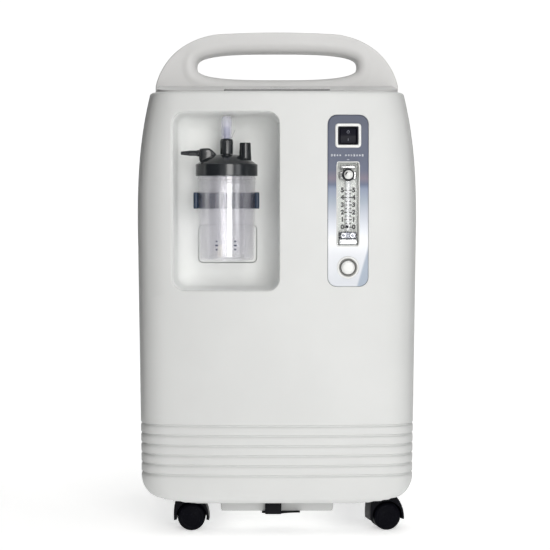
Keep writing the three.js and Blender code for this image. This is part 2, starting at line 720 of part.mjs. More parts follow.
function nichePieces() {
  const mouth = casingForm(WALL + GAP, UPRIGHT_LOW, UPRIGHT_HIGH);
  const hatchZ = NICHE_Z - HATCH_DROP;
  const hatch = (grow, y0, y1) =>
    slabY(
      roundRect(NICHE_X, hatchZ, HATCH_WIDTH + 2 * grow, HATCH_HEIGHT + 2 * grow, 6 + grow, 3), y0, y1,
    );
  const tub = nicheSpace(NICHE_WALL, FRONT_Y - 5)
    .subtract(nicheSpace(0, FRONT_Y - 6))
    .intersect(mouth)
    .subtract(hatch(GAP, NICHE_BACK_Y - 1, NICHE_BACK_Y + 9));
  add("humidifier_niche", "cover", tub);
  add("niche_hatch", "cover", hatch(0, NICHE_BACK_Y, NICHE_BACK_Y + NICHE_WALL));

  // The clip: a half ring open to the front on a post, with its ends rolled outwards.
  const inner = JAR_RADIUS + 0.5;
  const outer = inner + CLIP_WALL;
  const ringTop = CLIP_TOP_Z;
  const ringFoot = CLIP_TOP_Z - CLIP_HEIGHT;
  const arms = rod(outer, ringFoot, ringTop, 32)
    .add(box(-outer, outer, -10, 0, ringFoot, ringTop))
    .subtract(rod(inner, ringFoot - 1, ringTop + 1, 32))
    .subtract(box(-inner, inner, -outer - 1, 0, ringFoot - 1, ringTop + 1))
    .subtract(box(-outer - 1, outer + 1, -outer - 1, -10, ringFoot - 1, ringTop + 1));
  const roll = rod(2.6, ringFoot, ringTop, 10);
  const post = box(-14, 14, outer - 2.5, outer + CLIP_POST - GAP, ringFoot + 3, ringTop - 3);
  const clip = arms
    .add(roll.translate([outer - 0.6, -10, 0]))
    .add(roll.translate([0.6 - outer, -10, 0]))
    .add(post)
    .subtract(rod(inner, ringFoot - 1, ringTop + 1, 32));
  add("bottle_clip", "dark", clip, group(BOTTLE_X, BOTTLE_Y, 0));
}

function bottle() {
  const at = group(BOTTLE_X, BOTTLE_Y, 0);
  const neck = LID_RADIUS - 4;
  const neckTop = LID_Z + LID_RING - 3.5;
  const domeZ = LID_Z + LID_RING;
  const top = FITTING_Z;
  const bore = 4; // centre hole for the outlet fitting
  const lidSides = 24;
  const elbowX = -26;
  const valveX = 24;

  const dome = turned(
    [
      [bore, top], [9, top], [24, domeZ + LID_DOME * 0.55], [LID_RADIUS - 5, domeZ],
      [LID_RADIUS, domeZ], [LID_RADIUS, LID_Z], [neck + 3 * GAP, LID_Z], [neck + 3 * GAP, domeZ - 3],
      [23, domeZ + LID_DOME * 0.55 - 3], [bore, top - 3], [bore, top],
    ],
    lidSides,
  );
  const elbowSeat = rod(5, domeZ - 4, top + 2, 16).translate([elbowX, 0, 0]);
  const valveSeat = rod(7.9, domeZ + 3.5, top + 2, 16).translate([valveX, 0, 0]);
  const tubeHole = rod(1.9, LID_Z, top + 1, 12).translate([-4.4 * 2, 0, 0]);
  const valvePort = rod(3, LID_Z, top + 1, 12).translate([valveX, 0, 0]);
  const lid = dome
    .subtract(elbowSeat)
    .subtract(valveSeat)
    .subtract(tubeHole)
    .subtract(valvePort);
  add("humidifier_lid", "dark", lid, at);

  const jar = turned(
    [
      [0, JAR_Z], [JAR_FOOT_RADIUS - 4, JAR_Z], [JAR_FOOT_RADIUS - 1, JAR_Z + 1.2],
      [JAR_FOOT_RADIUS, JAR_Z + 4], [JAR_RADIUS, LID_Z - 6], [JAR_RADIUS, LID_Z - GAP],
      [neck, LID_Z - GAP], [neck, neckTop], [neck - JAR_WALL, neckTop],
      [neck - JAR_WALL, LID_Z - 8], [JAR_FOOT_RADIUS - JAR_WALL, JAR_Z + 5],
      [JAR_FOOT_RADIUS - 5, JAR_Z + JAR_WALL + 0.5], [0, JAR_Z + JAR_WALL + 0.5],
    ],
    lidSides,
  );
  add("humidifier_jar", "clear", jar, at);

  // The inlet elbow: a hooded block on the lid with a tapered hose barb to the left.
  const block = outlineOf([
    [-9, domeZ + 4], [-9, domeZ + 20], [4, domeZ + 20.8], [10, domeZ + 14.5], [10, domeZ + 11],
  ]);
  const barbZ = domeZ + 14;
  const above = turned(
    [
      [0, top + 2], [9, top + GAP], [24, domeZ + LID_DOME * 0.55 + GAP],
      [LID_RADIUS - 5, domeZ + GAP], [LID_RADIUS + 40, domeZ + GAP],
      [LID_RADIUS + 40, domeZ + 60], [0, domeZ + 60],
    ],
    lidSides,
  ).translate([-elbowX, 0, 0]);
  const barb = toRight(rod(2.2, -33, -8, 16, 3.9)).translate([0, 0, barbZ]);
  const elbow = slabY(block, -8, 8)
    .intersect(above)
    .add(barb)
    .add(rod(4.7, domeZ - 3, domeZ + 9, 16))
    .subtract(rod(2, domeZ - 4, barbZ, 12))
    .subtract(toRight(rod(1.3, -34, 0, 12)).translate([0, 0, barbZ]));
  add("inlet_elbow", "dark", elbow, group(elbowX, 0, 0, 0, at));

  // The outlet fitting: a ribbed nut with a stem through the lid and a barb on top.
  const fitting = turned(
    [
      [1.4, top - 8], [bore - GAP, top - 8], [bore - GAP, top + GAP], [7.9, top + GAP],
      [7.9, top + FITTING_HEIGHT - GAP], [3.6, top + FITTING_HEIGHT - GAP],
      [3, top + FITTING_HEIGHT + 16], [1.4, top + FITTING_HEIGHT + 16], [1.4, top - 8],
    ],
    16,
  );
  add("outlet_fitting", "dark", fitting, at);
  const capFoot = top + FITTING_HEIGHT;
  const cap = turned(
    [
      [0, CAP_TOP_Z], [4, CAP_TOP_Z], [6.6, CAP_TOP_Z - 2.4], [7.2, CAP_TOP_Z - 5], [7.2, capFoot],
      [4, capFoot], [4, CAP_TOP_Z - 10], [0, CAP_TOP_Z - 10],
    ],
    16,
  );
  add("outlet_dust_cap", "frost", cap, at);

  const valveTop = top + 15;
  const valve = turned(
    [
      [0, valveTop], [6.8, valveTop], [7.4, valveTop - 1], [7.6, domeZ + 3.5 + GAP],
      [2.7, domeZ + 3.5 + GAP], [2.7, domeZ - 2], [0, domeZ - 2],
    ],
    20,
  );
  add("relief_valve", "dark", valve, group(valveX, 0, 0, 0, at));

  // The dip tube hangs from the lid, and the porous diffuser is pushed on its lower end.
  const dip = group(-4.4 * 2, 0, 0, 0, at);
  const tubeFoot = JAR_Z + 16;
  const tube = turned(
    [[0.9, tubeFoot], [1.6, tubeFoot], [1.6, top - 5], [0.9, top - 5], [0.9, tubeFoot]], 12,
  );
  add("dip_tube", "clear", tube, dip);
  const diffuser = turned(
    [
      [0, JAR_Z + 4], [2.6, JAR_Z + 4], [3.2, JAR_Z + 5], [3.2, JAR_Z + 19], [2.6, JAR_Z + 20],
      [1.9, JAR_Z + 20], [1.9, JAR_Z + 15.6], [0, JAR_Z + 15.6],
    ],
    14,
  );
  add("diffuser", "trim", diffuser, dip);
}

// ---------------------------------------------------------------- control panel
function controls() {
  const plate = panelSlab(0, FRONT_Y - 20, FRONT_Y + 30)
    .intersect(casingForm(0, UPRIGHT_LOW, UPRIGHT_HIGH))
    .subtract(casingForm(PANEL_THICKNESS, UPRIGHT_LOW, UPRIGHT_HIGH))
    .subtract(panelHoles(GAP, FRONT_Y - 20, FRONT_Y + 30));
  add("panel_plate", "panel", plate);

  // Switch: a white bezel round a black housing, and the rocker on its pivot in the housing.
  const power = group(PANEL_X, PANEL_FACE_Y, SWITCH_Z);
  const bodyWidth = ROCKER_WIDTH + 4;
  const bodyHeight = ROCKER_HEIGHT + 4;
  const bezel = slabY(roundRect(0, 0, SWITCH_WIDTH, SWITCH_HEIGHT, 4, 3), -2.4, 7).subtract(
    box(
      -bodyWidth / 2 - GAP, bodyWidth / 2 + GAP, -4, 9,
      -bodyHeight / 2 - GAP, bodyHeight / 2 + GAP,
    ),
  );
  add("switch_bezel", "trim", bezel, power);
  const housing = box(-bodyWidth / 2, bodyWidth / 2, -1.6, 20, -bodyHeight / 2, bodyHeight / 2)
    .subtract(
      box(
        -ROCKER_WIDTH / 2 - GAP, ROCKER_WIDTH / 2 + GAP, -3, 9,
        -ROCKER_HEIGHT / 2 - 0.9, ROCKER_HEIGHT / 2 + 0.9,
      ),
    );
  add("switch_body", "dark", housing, power);
  const h = ROCKER_HEIGHT / 2;
  const rocker = slabX(
    outlineOf([[2.2, -h + 0.4], [3, 0], [2.2, h - 0.4], [-3.4, h], [-4.4, 0], [-3.4, -h]]),
    -ROCKER_WIDTH / 2,
    ROCKER_WIDTH / 2,
  ).rotate([ROCKER_TILT, 0, 0]);
  add("switch_rocker", "dark", rocker, group(0, 2, 0, 0, power));

  // Flowmeter: a clear block with a bored tube for the float, and the valve knob at its top.
  const flow = group(PANEL_X, METER_FACE_Y, METER_FOOT_Z);
  const [w, t] = [METER_WIDTH, METER_HEIGHT];
  const meterBezel = slabY(
    roundRect(0, t / 2, w + 2 * (BEZEL_LIP + GAP), t + 2 * (BEZEL_LIP + GAP), 3, 3), -1.2, 7,
  ).subtract(slabY(roundRect(0, t / 2, w + 2 * GAP, t + 2 * GAP, 1, 2), -3, 9));
  add("flowmeter_bezel", "trim", meterBezel, flow);
  const seat = TUBE_FOOT_RISE;
  const boreY = 9;
  const tubeTop = seat + TUBE_LENGTH;
  const knobZ = t - KNOB_DROP;
  const port = (z) => toFront(rod(2, -METER_DEPTH - 1, -boreY, 10)).translate([0, 0, z]);
  const meter = box(-w / 2, w / 2, 0, METER_DEPTH, 0, t)
    .subtract(rod(TUBE_RADIUS, seat, tubeTop, 16).translate([0, boreY, 0]))
    .subtract(rod(1.2, 9, seat + 1, 10).translate([0, boreY, 0]))
    .subtract(port(10))
    .subtract(port(tubeTop - 3))
    .subtract(toFront(rod(2.9, -13, 1, 16)).translate([0, 0, knobZ]));
  add("flowmeter_body", "clear", meter, flow);
  const ball = new THREE.SphereGeometry(FLOAT_RADIUS, 10, 7);
  add("flowmeter_float", "dark", solid(ball), group(0, boreY, seat + FLOAT_RADIUS + 0.1, 0, flow));
  const knobTip = METER_FACE_Y - (FRONT_Y - KNOB_PROUD);
  const knob = turned(
    [
      [0, -12], [2.5, -12], [2.5, 1.5], [KNOB_RADIUS - 0.6, 1.5], [KNOB_RADIUS, 2.3],
      [KNOB_RADIUS, knobTip - 1.5], [KNOB_RADIUS - 1.5, knobTip], [0, knobTip],
    ],
    16,
  );
  add("flow_knob", "dark", toFront(knob), group(0, 0, knobZ, 0, flow));

  // Oxygen outlet: a flanged cup let into the panel, the barbed nozzle in it and its dust cap.
  const outlet = group(PANEL_X, PANEL_FACE_Y, OUTLET_Z);
  const cup = OUTLET_CUP_RADIUS;
  const flange = turned(
    [
      [5, -15], [cup + 1.5, -15], [cup + 1.5, -4], [OUTLET_RADIUS, -4], [OUTLET_RADIUS, 1],
      [OUTLET_RADIUS - 1, 1.6], [cup, 1.6], [cup, -13], [5, -13], [5, -15],
    ],
    24,
  );
  add("outlet_bezel", "trim", toFront(flange), outlet);
  const nozzle = turned(
    [
      [1.5, -28], [4.6, -28], [4.6, -12], [4, -11], [4, -6], [3.2, 0], [1.5, 0], [1.5, -28],
    ],
    14,
  );
  add("oxygen_nozzle", "steel", toFront(nozzle), outlet);
  const r = OUTLET_CAP_RADIUS;
  const cap = turned(
    [
      [0, 4.5], [r - 2, 4.5], [r, 2], [r, -8], [4.6, -8], [4.6, 1], [0, 1],
    ],
    24,
  );
  add("nozzle_cap", "trim", toFront(cap), outlet);
}

// ---------------------------------------------------------------- chassis, tray and casters
function base() {
  let deck = slabZ(plan(DECK_Z - WALL, WALL + 2 * GAP), DECK_Z + GAP, CHASSIS_TOP_Z + GAP);
  for (const [x, y] of CASTER_PLACES)
    deck = deck
      .add(rod(STEM_RADIUS + 4, DECK_Z + GAP, DECK_Z + STEM_LENGTH, 12).translate([x, y, 0]))
      .subtract(rod(STEM_RADIUS + GAP, DECK_Z - 1, DECK_Z + STEM_LENGTH + 1, 12).translate([x, y, 0]));
  deck = deck.subtract(box(-50, 50, SEAM_Y - 90, SEAM_Y - 20, DECK_Z - 1, CHASSIS_TOP_Z + 2));
  add("base_chassis", "steel", deck);

  // The tray hangs under the chassis, a little narrower at its floor, with slots for the warm air.
  const [w, y0, y1] = [TRAY_WIDTH / 2, FRONT_Y + TRAY_INSET, REAR_Y - TRAY_INSET];
  const pan = (inset, low) =>
    loft(
      [[TRAY_TAPER + inset, low], [inset, DECK_Z]].map(([inward, z]) =>
        roundRect(0, (y0 + y1) / 2, 2 * (w - inward), y1 - y0 - 2 * inward, 8, 2).map(
          (p) => new THREE.Vector3(p.x, p.y, z),
        ),
      ),
    );
  let tray = pan(0, TRAY_Z).subtract(pan(2, TRAY_Z + 2));
  for (let i = -3; i <= 3; i++)
    tray = tray.subtract(
      box(i * 16 - 4, i * 16 + 4, SEAM_Y + 10, SEAM_Y + 70, TRAY_Z - 1, TRAY_Z + 4),
    );
  add("base_tray", "cover", tray);

  // A rubber baffle in front of the tray, with a thin lip that runs on under its edge.
  const lip = outlineOf([[-10, 0], [-16, 2], [-16, 2.7], [52, 2.7], [20, 1.2], [10, 0]]);
  const baffle = box(-BAFFLE_WIDTH / 2, BAFFLE_WIDTH / 2, -8, -GAP, 0, 33)
    .add(slabY(lip.map((p) => new THREE.Vector2(p.x, p.y - 1)), -6, 8))
    .subtract(box(-90, 90, -GAP, 20, 2, 60));
  add("exhaust_baffle", "rubber", baffle, group(BAFFLE_X, y0, TRAY_Z - 2.6));
}

function casters() {
  const t = CASTER_TRAIL;
  const names = ["front_left", "front_right", "rear_left", "rear_right"];
  const hoodForm = () => {
    const path = new THREE.Path();
    path.moveTo(t + HOOD_HALF_LENGTH, WHEEL_RADIUS - 4.5);
    path.bezierCurveTo(
      t + HOOD_HALF_LENGTH + 1, HOOD_TOP_Z - 20, t + 14, HOOD_TOP_Z - 4, t + 4, HOOD_TOP_Z,
    );
    path.lineTo(t - 18, HOOD_TOP_Z);
    path.bezierCurveTo(
      t - 22, HOOD_TOP_Z - 10, t - HOOD_HALF_LENGTH, HOOD_TOP_Z - 20,
      t - HOOD_HALF_LENGTH, WHEEL_RADIUS - 4.5,
    );
    return path.getPoints(5);
  };
  const half = HOOD_WIDTH / 2;
  const cavity = toFront(rod(WHEEL_RADIUS + 1.5, WEB_THICKNESS / 2, half + 5, 20)).translate([
    t, 0, WHEEL_RADIUS,
  ]);
  const hood = slabY(hoodForm(), -half, half)
    .subtract(cavity)
    .subtract(cavity.mirror([0, 1, 0]))
    .subtract(toFront(rod(3.4, -half, half, 10)).translate([t, 0, WHEEL_RADIUS]))
    .add(rod(STEM_RADIUS, HOOD_TOP_Z - 3, DECK_Z + STEM_LENGTH - 2, 12));
  const inner = WEB_THICKNESS / 2 + 0.6;
  const outer = half + 1.5;
  const wheels = turned(
    [
      [0, -outer - 1.5], [14, -outer], [WHEEL_RADIUS, 3 - outer], [WHEEL_RADIUS, -inner],
      [3, -inner], [3, inner], [WHEEL_RADIUS, inner], [WHEEL_RADIUS, outer - 3], [14, outer],
      [0, outer + 1.5],
    ],
    16,
  );
  CASTER_PLACES.forEach(([x, y], i) => {
    const swivel = group(x, y, 0, CASTER_YAWS[i]);
    add("caster_hood_" + names[i], "rubber", hood, swivel);
    const axle = group(t, 0, WHEEL_RADIUS, 0, swivel);
    add("caster_wheels_" + names[i], "rubber", toFront(wheels), axle);
  });
}

// ---------------------------------------------------------------- inside
function compressor() {
  const at = group(0, COMPRESSOR_Y, 0);
  const [h, r, z] = [COMPRESSOR_HALF_LENGTH, COMPRESSOR_RADIUS, COMPRESSOR_AXIS_Z];
  const along = (shape) => toRight(shape).translate([0, 0, z]);
  const body = along(rod(r, -62, 62, 18))
    .add(along(rod(r - 8, -h + 8, h - 8, 12)))
    .add(box(-h + 8, -60, -30, 30, z, z + r + 4))
    .add(box(60, h - 8, -30, 30, z, z + r + 4))
    .add(box(-92, 92, -46, 46, COMPRESSOR_FOOT_Z, COMPRESSOR_FOOT_Z + 4))
    .add(box(-60, 60, -30, 30, COMPRESSOR_FOOT_Z + 2, z - r + 10))
    .subtract(along(rod(6.5, -h, h, 8)));
  add("compressor_body", "cast", body, at);
  for (const [name, side] of [["left", -1], ["right", 1]]) {
    const x0 = side < 0 ? -h + 8 : 60;
    const head = box(x0, x0 + h - 68, -32, 32, z + r + 4 + GAP, z + r + 22);
    const fins = [-20, 0, 20].map((y) =>
      box(x0 - 1, x0 + h - 67, y - 3, y + 3, z + r + 14, z + r + 23),
    );
    add("cylinder_head_" + name, "cast", fins.reduce((a, b) => a.subtract(b), head), at);
  }
  // The shaft runs through the motor and carries a cooling fan on each end.
  const blades = (x) =>
    range(6, (i) => toRight(box(-2, 2, 6, 34, x, x + 9).rotate([0, 0, i * 60])));
  let shaft = toRight(rod(5, -h - 12, h + 12, 8));
  for (const x of [-h - 10, h + 1])
    shaft = blades(x).reduce((a, b) => a.add(b), shaft.add(toRight(rod(9, x, x + 9, 10))));
  add("compressor_shaft", "steel", shaft, group(0, 0, z, 0, at));
  const low = CHASSIS_TOP_Z + 2 * GAP;
  const top = COMPRESSOR_FOOT_Z - GAP;
  const mount = turned(
    [[0, low], [13, low], [13, low + 4], [9, (low + top) / 2], [13, top - 4], [13, top], [0, top]], 14,
  );
  const mounts = [["front_left", -1, -1], ["front_right", 1, -1], ["rear_left", -1, 1]];
  mounts.push(["rear_right", 1, 1]);
  for (const [name, i, j] of mounts)
    add("rubber_mount_" + name, "rubber", mount, group(i * 76, j * 32, 0, 0, at));
}

function process() {
  const floor = CHASSIS_TOP_Z + 2 * GAP;
  const half = WIDTH / 2 - 40;
  const frameTop = RIM_Z - 50;
  const frame = box(-half, half, FRAME_Y, FRAME_Y + 2, floor, frameTop).add(
    box(-half, half, FRAME_Y, FRAME_Y + 16, floor, floor + 2),
  );
  add("inner_frame", "steel", frame);

  const bedY = FRAME_Y + 2 + GAP + BED_RADIUS + 16;
  const bed = turned(
    [
      [0, floor + 3], [BED_RADIUS, floor + 3], [BED_RADIUS, floor + 9], [BED_RADIUS - 3, floor + 11],
      [BED_RADIUS - 3, floor + BED_HEIGHT - 8], [BED_RADIUS, floor + BED_HEIGHT - 6],
      [BED_RADIUS, floor + BED_HEIGHT], [6, floor + BED_HEIGHT], [6, floor + BED_HEIGHT + 12],
      [0, floor + BED_HEIGHT + 12],
    ],
    14,
  );
  for (const [name, side] of [["left", -1], ["right", 1]])
    add("sieve_bed_" + name, "bed", bed, group(side * (BED_RADIUS + 6), bedY, 0));
  const tankFoot = DECK_Z + STEM_LENGTH + 3; // clear of the caster sockets
  const tankTop = tankFoot + TANK_HEIGHT;
  const tank = turned(
    [
      [0, tankFoot], [TANK_RADIUS - 8, tankFoot], [TANK_RADIUS, tankFoot + 8],
      [TANK_RADIUS, tankTop - 8], [TANK_RADIUS - 8, tankTop], [0, tankTop],
    ],
    14,
  );
  add("product_tank", "trim", tank, group(2 * BED_RADIUS + 12 + TANK_RADIUS, bedY, 0));

  const valveY = FRAME_Y - GAP;
  const valveZ = FAN_Z + FAN_THICKNESS + 20;
  let valves = box(-70, 20, valveY - 34, valveY, valveZ, valveZ + 26);
  for (const x of [-58, -36, -14, 8])
    valves = valves.add(rod(8, valveZ + 25, valveZ + 62, 10).translate([x, valveY - 17, 0]));
  add("valve_manifold", "cast", valves);
  const boardTop = valveZ + 132;
  const board = box(40, half - 4, FRAME_Y - 7, FRAME_Y - 5.4, boardTop - 130, boardTop)
    .add(box(52, 92, FRAME_Y - 24, FRAME_Y - 6, boardTop - 110, boardTop - 80))
    .add(rod(11, boardTop - 70, boardTop - 32, 12).translate([half - 30, FRAME_Y - 16, 0]))
    .add(box(44, 50, FRAME_Y - 7, FRAME_Y - GAP, boardTop - 126, boardTop - 120))
    .add(box(half - 14, half - 8, FRAME_Y - 7, FRAME_Y - GAP, boardTop - 10, boardTop - 4));
  add("control_board", "board", board);

  // The cooling fan lies flat over the compressor, with the coil that cools the compressed air on it.
  const s = FAN_SIZE / 2;
  const fan = group(0, FRAME_Y - GAP - s, FAN_Z);
  const spokes = [0, 90].map((turn) =>
    box(-s, s, -2, 2, 0, 3).rotate([0, 0, turn + 45]),
  );
  const frameRing = slabZ(roundRect(0, 0, FAN_SIZE, FAN_SIZE, 6, 2), 0, FAN_THICKNESS)
    .subtract(rod(s - 3, -1, FAN_THICKNESS + 1, 20))
    .add(spokes[0])
    .add(spokes[1]);
  add("cooling_fan_frame", "dark", frameRing, fan);
  const hub = rod(19, 5, FAN_THICKNESS - 1, 14);
  const vanes = range(7, (i) =>
    box(17, s - 5, -1.2, 1.2, -9, 9)
      .rotate([35, 0, 0])
      .translate([0, 0, FAN_THICKNESS / 2 + 2])
      .rotate([0, 0, (i * 360) / 7]),
  );
  add("cooling_fan_rotor", "dark", vanes.reduce((a, b) => a.add(b), hub), fan);

  const coilZ = FAN_THICKNESS + GAP;
  const slices = [-42, -14, 14, 42].map((x) =>
    toFront(rod(4, -48, 48, 6)).translate([x, 0, coilZ + 4]),
  );
  const headers = [-46, 46].map((y) =>
    toRight(rod(4, -46, 46, 6)).translate([0, y, coilZ + 4]),
  );
  add("heat_exchanger", "steel", [...slices, ...headers].reduce((a, b) => a.add(b)), fan);
}

covers();
intake();
mains();
roof();
nichePieces();
bottle();
controls();
base();
casters();
compressor();
process();

export default root;
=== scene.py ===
"""Oxygen concentrator on casters: the visible pieces, their finishes and the stage, built on the frame.

Lengths inside the builders are millimetres in the frame's own axes: +X right, -Y front, +Z up.
"""

import math

import bmesh
import bpy
import numpy as np
from bpy.props import FloatProperty, FloatVectorProperty, PointerProperty
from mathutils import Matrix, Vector


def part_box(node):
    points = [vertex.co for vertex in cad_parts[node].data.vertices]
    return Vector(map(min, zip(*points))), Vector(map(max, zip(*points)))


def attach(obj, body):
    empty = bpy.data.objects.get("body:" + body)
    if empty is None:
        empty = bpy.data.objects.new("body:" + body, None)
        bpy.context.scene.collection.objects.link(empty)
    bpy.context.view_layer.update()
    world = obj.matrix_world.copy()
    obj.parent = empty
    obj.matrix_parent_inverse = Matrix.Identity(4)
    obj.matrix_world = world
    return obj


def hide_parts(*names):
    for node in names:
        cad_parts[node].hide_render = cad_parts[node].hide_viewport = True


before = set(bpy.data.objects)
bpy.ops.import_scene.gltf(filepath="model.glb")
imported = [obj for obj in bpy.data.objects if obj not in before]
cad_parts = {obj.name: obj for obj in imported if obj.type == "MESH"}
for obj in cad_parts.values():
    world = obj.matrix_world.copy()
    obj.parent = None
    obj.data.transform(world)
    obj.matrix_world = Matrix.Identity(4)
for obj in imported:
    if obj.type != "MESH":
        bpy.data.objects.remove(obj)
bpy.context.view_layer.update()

bl_info = {
    "name": "Oxygen concentrator",
    "version": (1, 0, 0),
    "blender": (4, 5, 0),
    "location": "3D View > Sidebar > Concentrator",
    "description": "Builds the looks of an oxygen concentrator around its packed frame",
    "category": "Object",
}

MM = 0.001


# ------------------------------------------------------------------ places read from the frame
def span(node):
    """Lowest and highest corner of a frame node, in millimetres."""
    low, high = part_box(node)
    return np.array(low) / MM, np.array(high) / MM


def middle(node):
    low, high = span(node)
    return (low + high) / 2


FRONT_LOW, FRONT_HIGH = span("front_cover")
CASING_DEPTH = 375.0
FRONT_Y, REAR_Y = FRONT_LOW[1], FRONT_LOW[1] + CASING_DEPTH
SEAM_Y = (FRONT_Y + REAR_Y) / 2
RIM_Z, SKIRT_Z = FRONT_HIGH[2], FRONT_LOW[2] + 3
HALF_WIDTH, HALF_DEPTH = FRONT_HIGH[0], (REAR_Y - FRONT_Y) / 2
TOP_Z = span("handle_front")[1][2]
WAIST_Z = RIM_Z - 167
RIDGE_Z = RIM_Z + 16
EAVE_Z = RIM_Z - 0.2
FRONT_CORNER, REAR_CORNER, BULGE = 38.0, 30.0, 9.0
RIM_FILLET, SKIRT_FILLET = 5.0, 14.0
SKIRT_ROUND_X, SKIRT_ROUND_Z = 38.0, 32.0
GROOVE_TOPS = [143 - 12.7 * i for i in range(6)]
GROOVE_WIDTH, SEAM_GAP = 4.5, 0.15
NICHE = (-65.0, RIM_Z - 139.5, 68.0, 113.5, 16.0)
NICHE_BACK_Y = FRONT_Y + 96
HATCH = (-65.0, NICHE[1] - 56, 38.0, 24.5, 6.0)
PANEL = (90.0, RIM_Z - 139, 25.75, 108.5, 12.0)
BOTTLE_X, BOTTLE_Y = middle("humidifier_jar")[:2]
LID_Z = span("humidifier_lid")[0][2]
JAR_Z = span("humidifier_jar")[0][2]


# ------------------------------------------------------------------ settings
def colour(label, text, value):
    return FloatVectorProperty(
        name=label, description=text, default=value, subtype="COLOR", size=3, min=0, max=1
    )


def length(label, text, value):
    return FloatProperty(name=label, description=text, default=value, min=0)


class CasingSettings(bpy.types.PropertyGroup):
    cover: colour("Cover", "Colour of the covers", (0.6, 0.606, 0.6))
    # The niche is coloured much lighter than the cover. This is painted light that makes up for the light the
    # recess doesn't get.
    niche: colour("Niche", "Colour of the niche", (0.88, 0.89, 0.88))
    handle: colour("Handle", "Colour of the roof and the carrying arch", (0.68, 0.677, 0.672))
    groove_depth: length("Groove depth", "Depth of the grooves round the lower covers, mm", 1.9)
    niche_lip: length("Niche lip", "Rounding of the niche's mouth, mm", 1.4)
    grip_roll: length("Grip roll", "Rounding of the hand opening's edge, mm", 12.0)


class BottleSettings(bpy.types.PropertyGroup):
    lid: colour("Lid", "Colour of the lid and its fittings", (0.014, 0.016, 0.019))
    clip: colour("Clip", "Colour of the bottle clip", (0.01, 0.025, 0.055))
    jar: colour("Jar", "Tint of the clear jar", (0.84, 0.82, 0.92))
    jar_wall: length("Jar wall", "Wall of the jar, mm", 1.8)


class PanelSettings(bpy.types.PropertyGroup):
    top: colour("Panel top", "Slate colour at the top of the panel film", (0.09, 0.1, 0.138))
    foot: colour("Panel foot", "Silver colour at the foot of the panel film", (0.7, 0.715, 0.75))
    trim: colour("Trim", "Colour of the white bezels and the nozzle cap", (0.66, 0.665, 0.655))
    ink: colour("Ink", "Colour of the printed scale", (0.015, 0.015, 0.018))


class GearSettings(bpy.types.PropertyGroup):
    black: colour("Black", "Colour of the casters and the baffle", (0.003, 0.003, 0.005))
    hood_edge: length("Hood edge", "Rounding of the caster hoods' edges, mm", 1.4)


class StageSettings(bpy.types.PropertyGroup):
    floor: colour("Floor", "Colour of the floor", (0.93, 0.93, 0.925))
    key_power: FloatProperty(name="Key light", description="Front strip, W", default=30, min=0)
    side_power: FloatProperty(name="Side light", description="Box on the right, W", default=5, min=0)
    fill_power: FloatProperty(name="Fill light", description="Overhead soft box, W", default=10, min=0)
    glow: FloatProperty(name="Paper glow", description="Light given off by the paper", default=0.5, min=0)
    sky: FloatProperty(name="Surround", description="Brightness of the white surround", default=0.42, min=0)


GROUPS = {
    "casing": CasingSettings,
    "bottle": BottleSettings,
    "panel": PanelSettings,
    "gear": GearSettings,
    "stage": StageSettings,
}


def settings(name):
    return getattr(bpy.context.scene, "concentrator_" + name)


# ------------------------------------------------------------------ mesh tools
def quads(rows, cols):
    """Corner numbers of the cells of a grid that is numbered row by row."""
    r, c = np.mgrid[0 : rows - 1, 0 : cols - 1]
    a = (r * cols + c).ravel()
    return np.stack([a, a + 1, a + cols + 1, a + cols], 1)


class Patches:
    """Grids of points that are welded into one mesh where they meet."""

    def __init__(self):
        self.points, self.cells, self.count = [], [], 0

    def grid(self, p, keep=None):
        """Adds a grid of points of shape rows, columns, 3, with all of its cells or those kept."""
        rows, cols = p.shape[:2]
        cells = quads(rows, cols)
        if keep is not None:
            cells = cells[keep.ravel()]
        self.points.append(p.reshape(-1, 3))
        self.cells.append(cells + self.count)
        self.count += rows * cols
        return self

    def mesh(self, name, sharp=35, outward=True):
        points = np.concatenate(self.points)
        cells = np.concatenate(self.cells)
        keys = np.round(points / 2e-3).astype(np.int64)
        _, first, back = np.unique(keys, axis=0, return_index=True, return_inverse=True)
        cells = back.reshape(-1)[cells]
        same = (cells == np.roll(cells, -1, axis=1)).sum(1)
        faces = cells[same == 0].tolist()
        faces += [list(dict.fromkeys(f)) for f in cells[same == 1].tolist()]
        faces = [f for f in faces if len(set(f)) == len(f) and len(f) > 2]
        data = bpy.data.meshes.new(name)
        data.from_pydata((points[first] * MM).tolist(), [], faces)
        shape = bmesh.new()
        shape.from_mesh(data)
        loose = [v for v in shape.verts if not v.link_faces]
        bmesh.ops.delete(shape, geom=loose, context="VERTS")
        if outward:
            bmesh.ops.recalc_face_normals(shape, faces=shape.faces)
        shape.to_mesh(data)
        shape.free()
        data.shade_smooth()
        data.set_sharp_from_angle(angle=math.radians(sharp))
        return data


def piece(name, data, finish, body, nodes=(), wall=0.0):
    """Puts a mesh into the scene as a piece that rides on a body and stands for the given nodes."""
    obj = bpy.data.objects.new(name, data)
    bpy.context.scene.collection.objects.link(obj)
    obj.data.materials.append(finish)
    if wall:
        skin = obj.modifiers.new("wall", "SOLIDIFY")
        skin.thickness = wall * MM
        skin.offset = -1
        skin.use_rim = True
    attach(obj, body)
    if nodes:
        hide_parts(*nodes)
    return obj


def soften(points, radius, steps=5):
    """A polyline with each inner corner replaced by a parabola that starts and ends radius away."""
    p = np.asarray(points, float)
    radius = np.broadcast_to(radius, len(p))
    out = [p[0][None]]
    t = np.linspace(0, 1, steps + 1)[:, None]
    for a, b, c, r in zip(p[:-2], p[1:-1], p[2:], radius[1:-1]):
        before, after = np.linalg.norm(a - b), np.linalg.norm(c - b)
        if r <= 0 or before < 1e-9 or after < 1e-9:
            out.append(b[None])
            continue
        start = b + (a - b) * min(r / before, 0.48)
        end = b + (c - b) * min(r / after, 0.48)
        out.append((1 - t) ** 2 * start + 2 * t * (1 - t) * b + t**2 * end)
    return np.concatenate([*out, p[-1][None]])


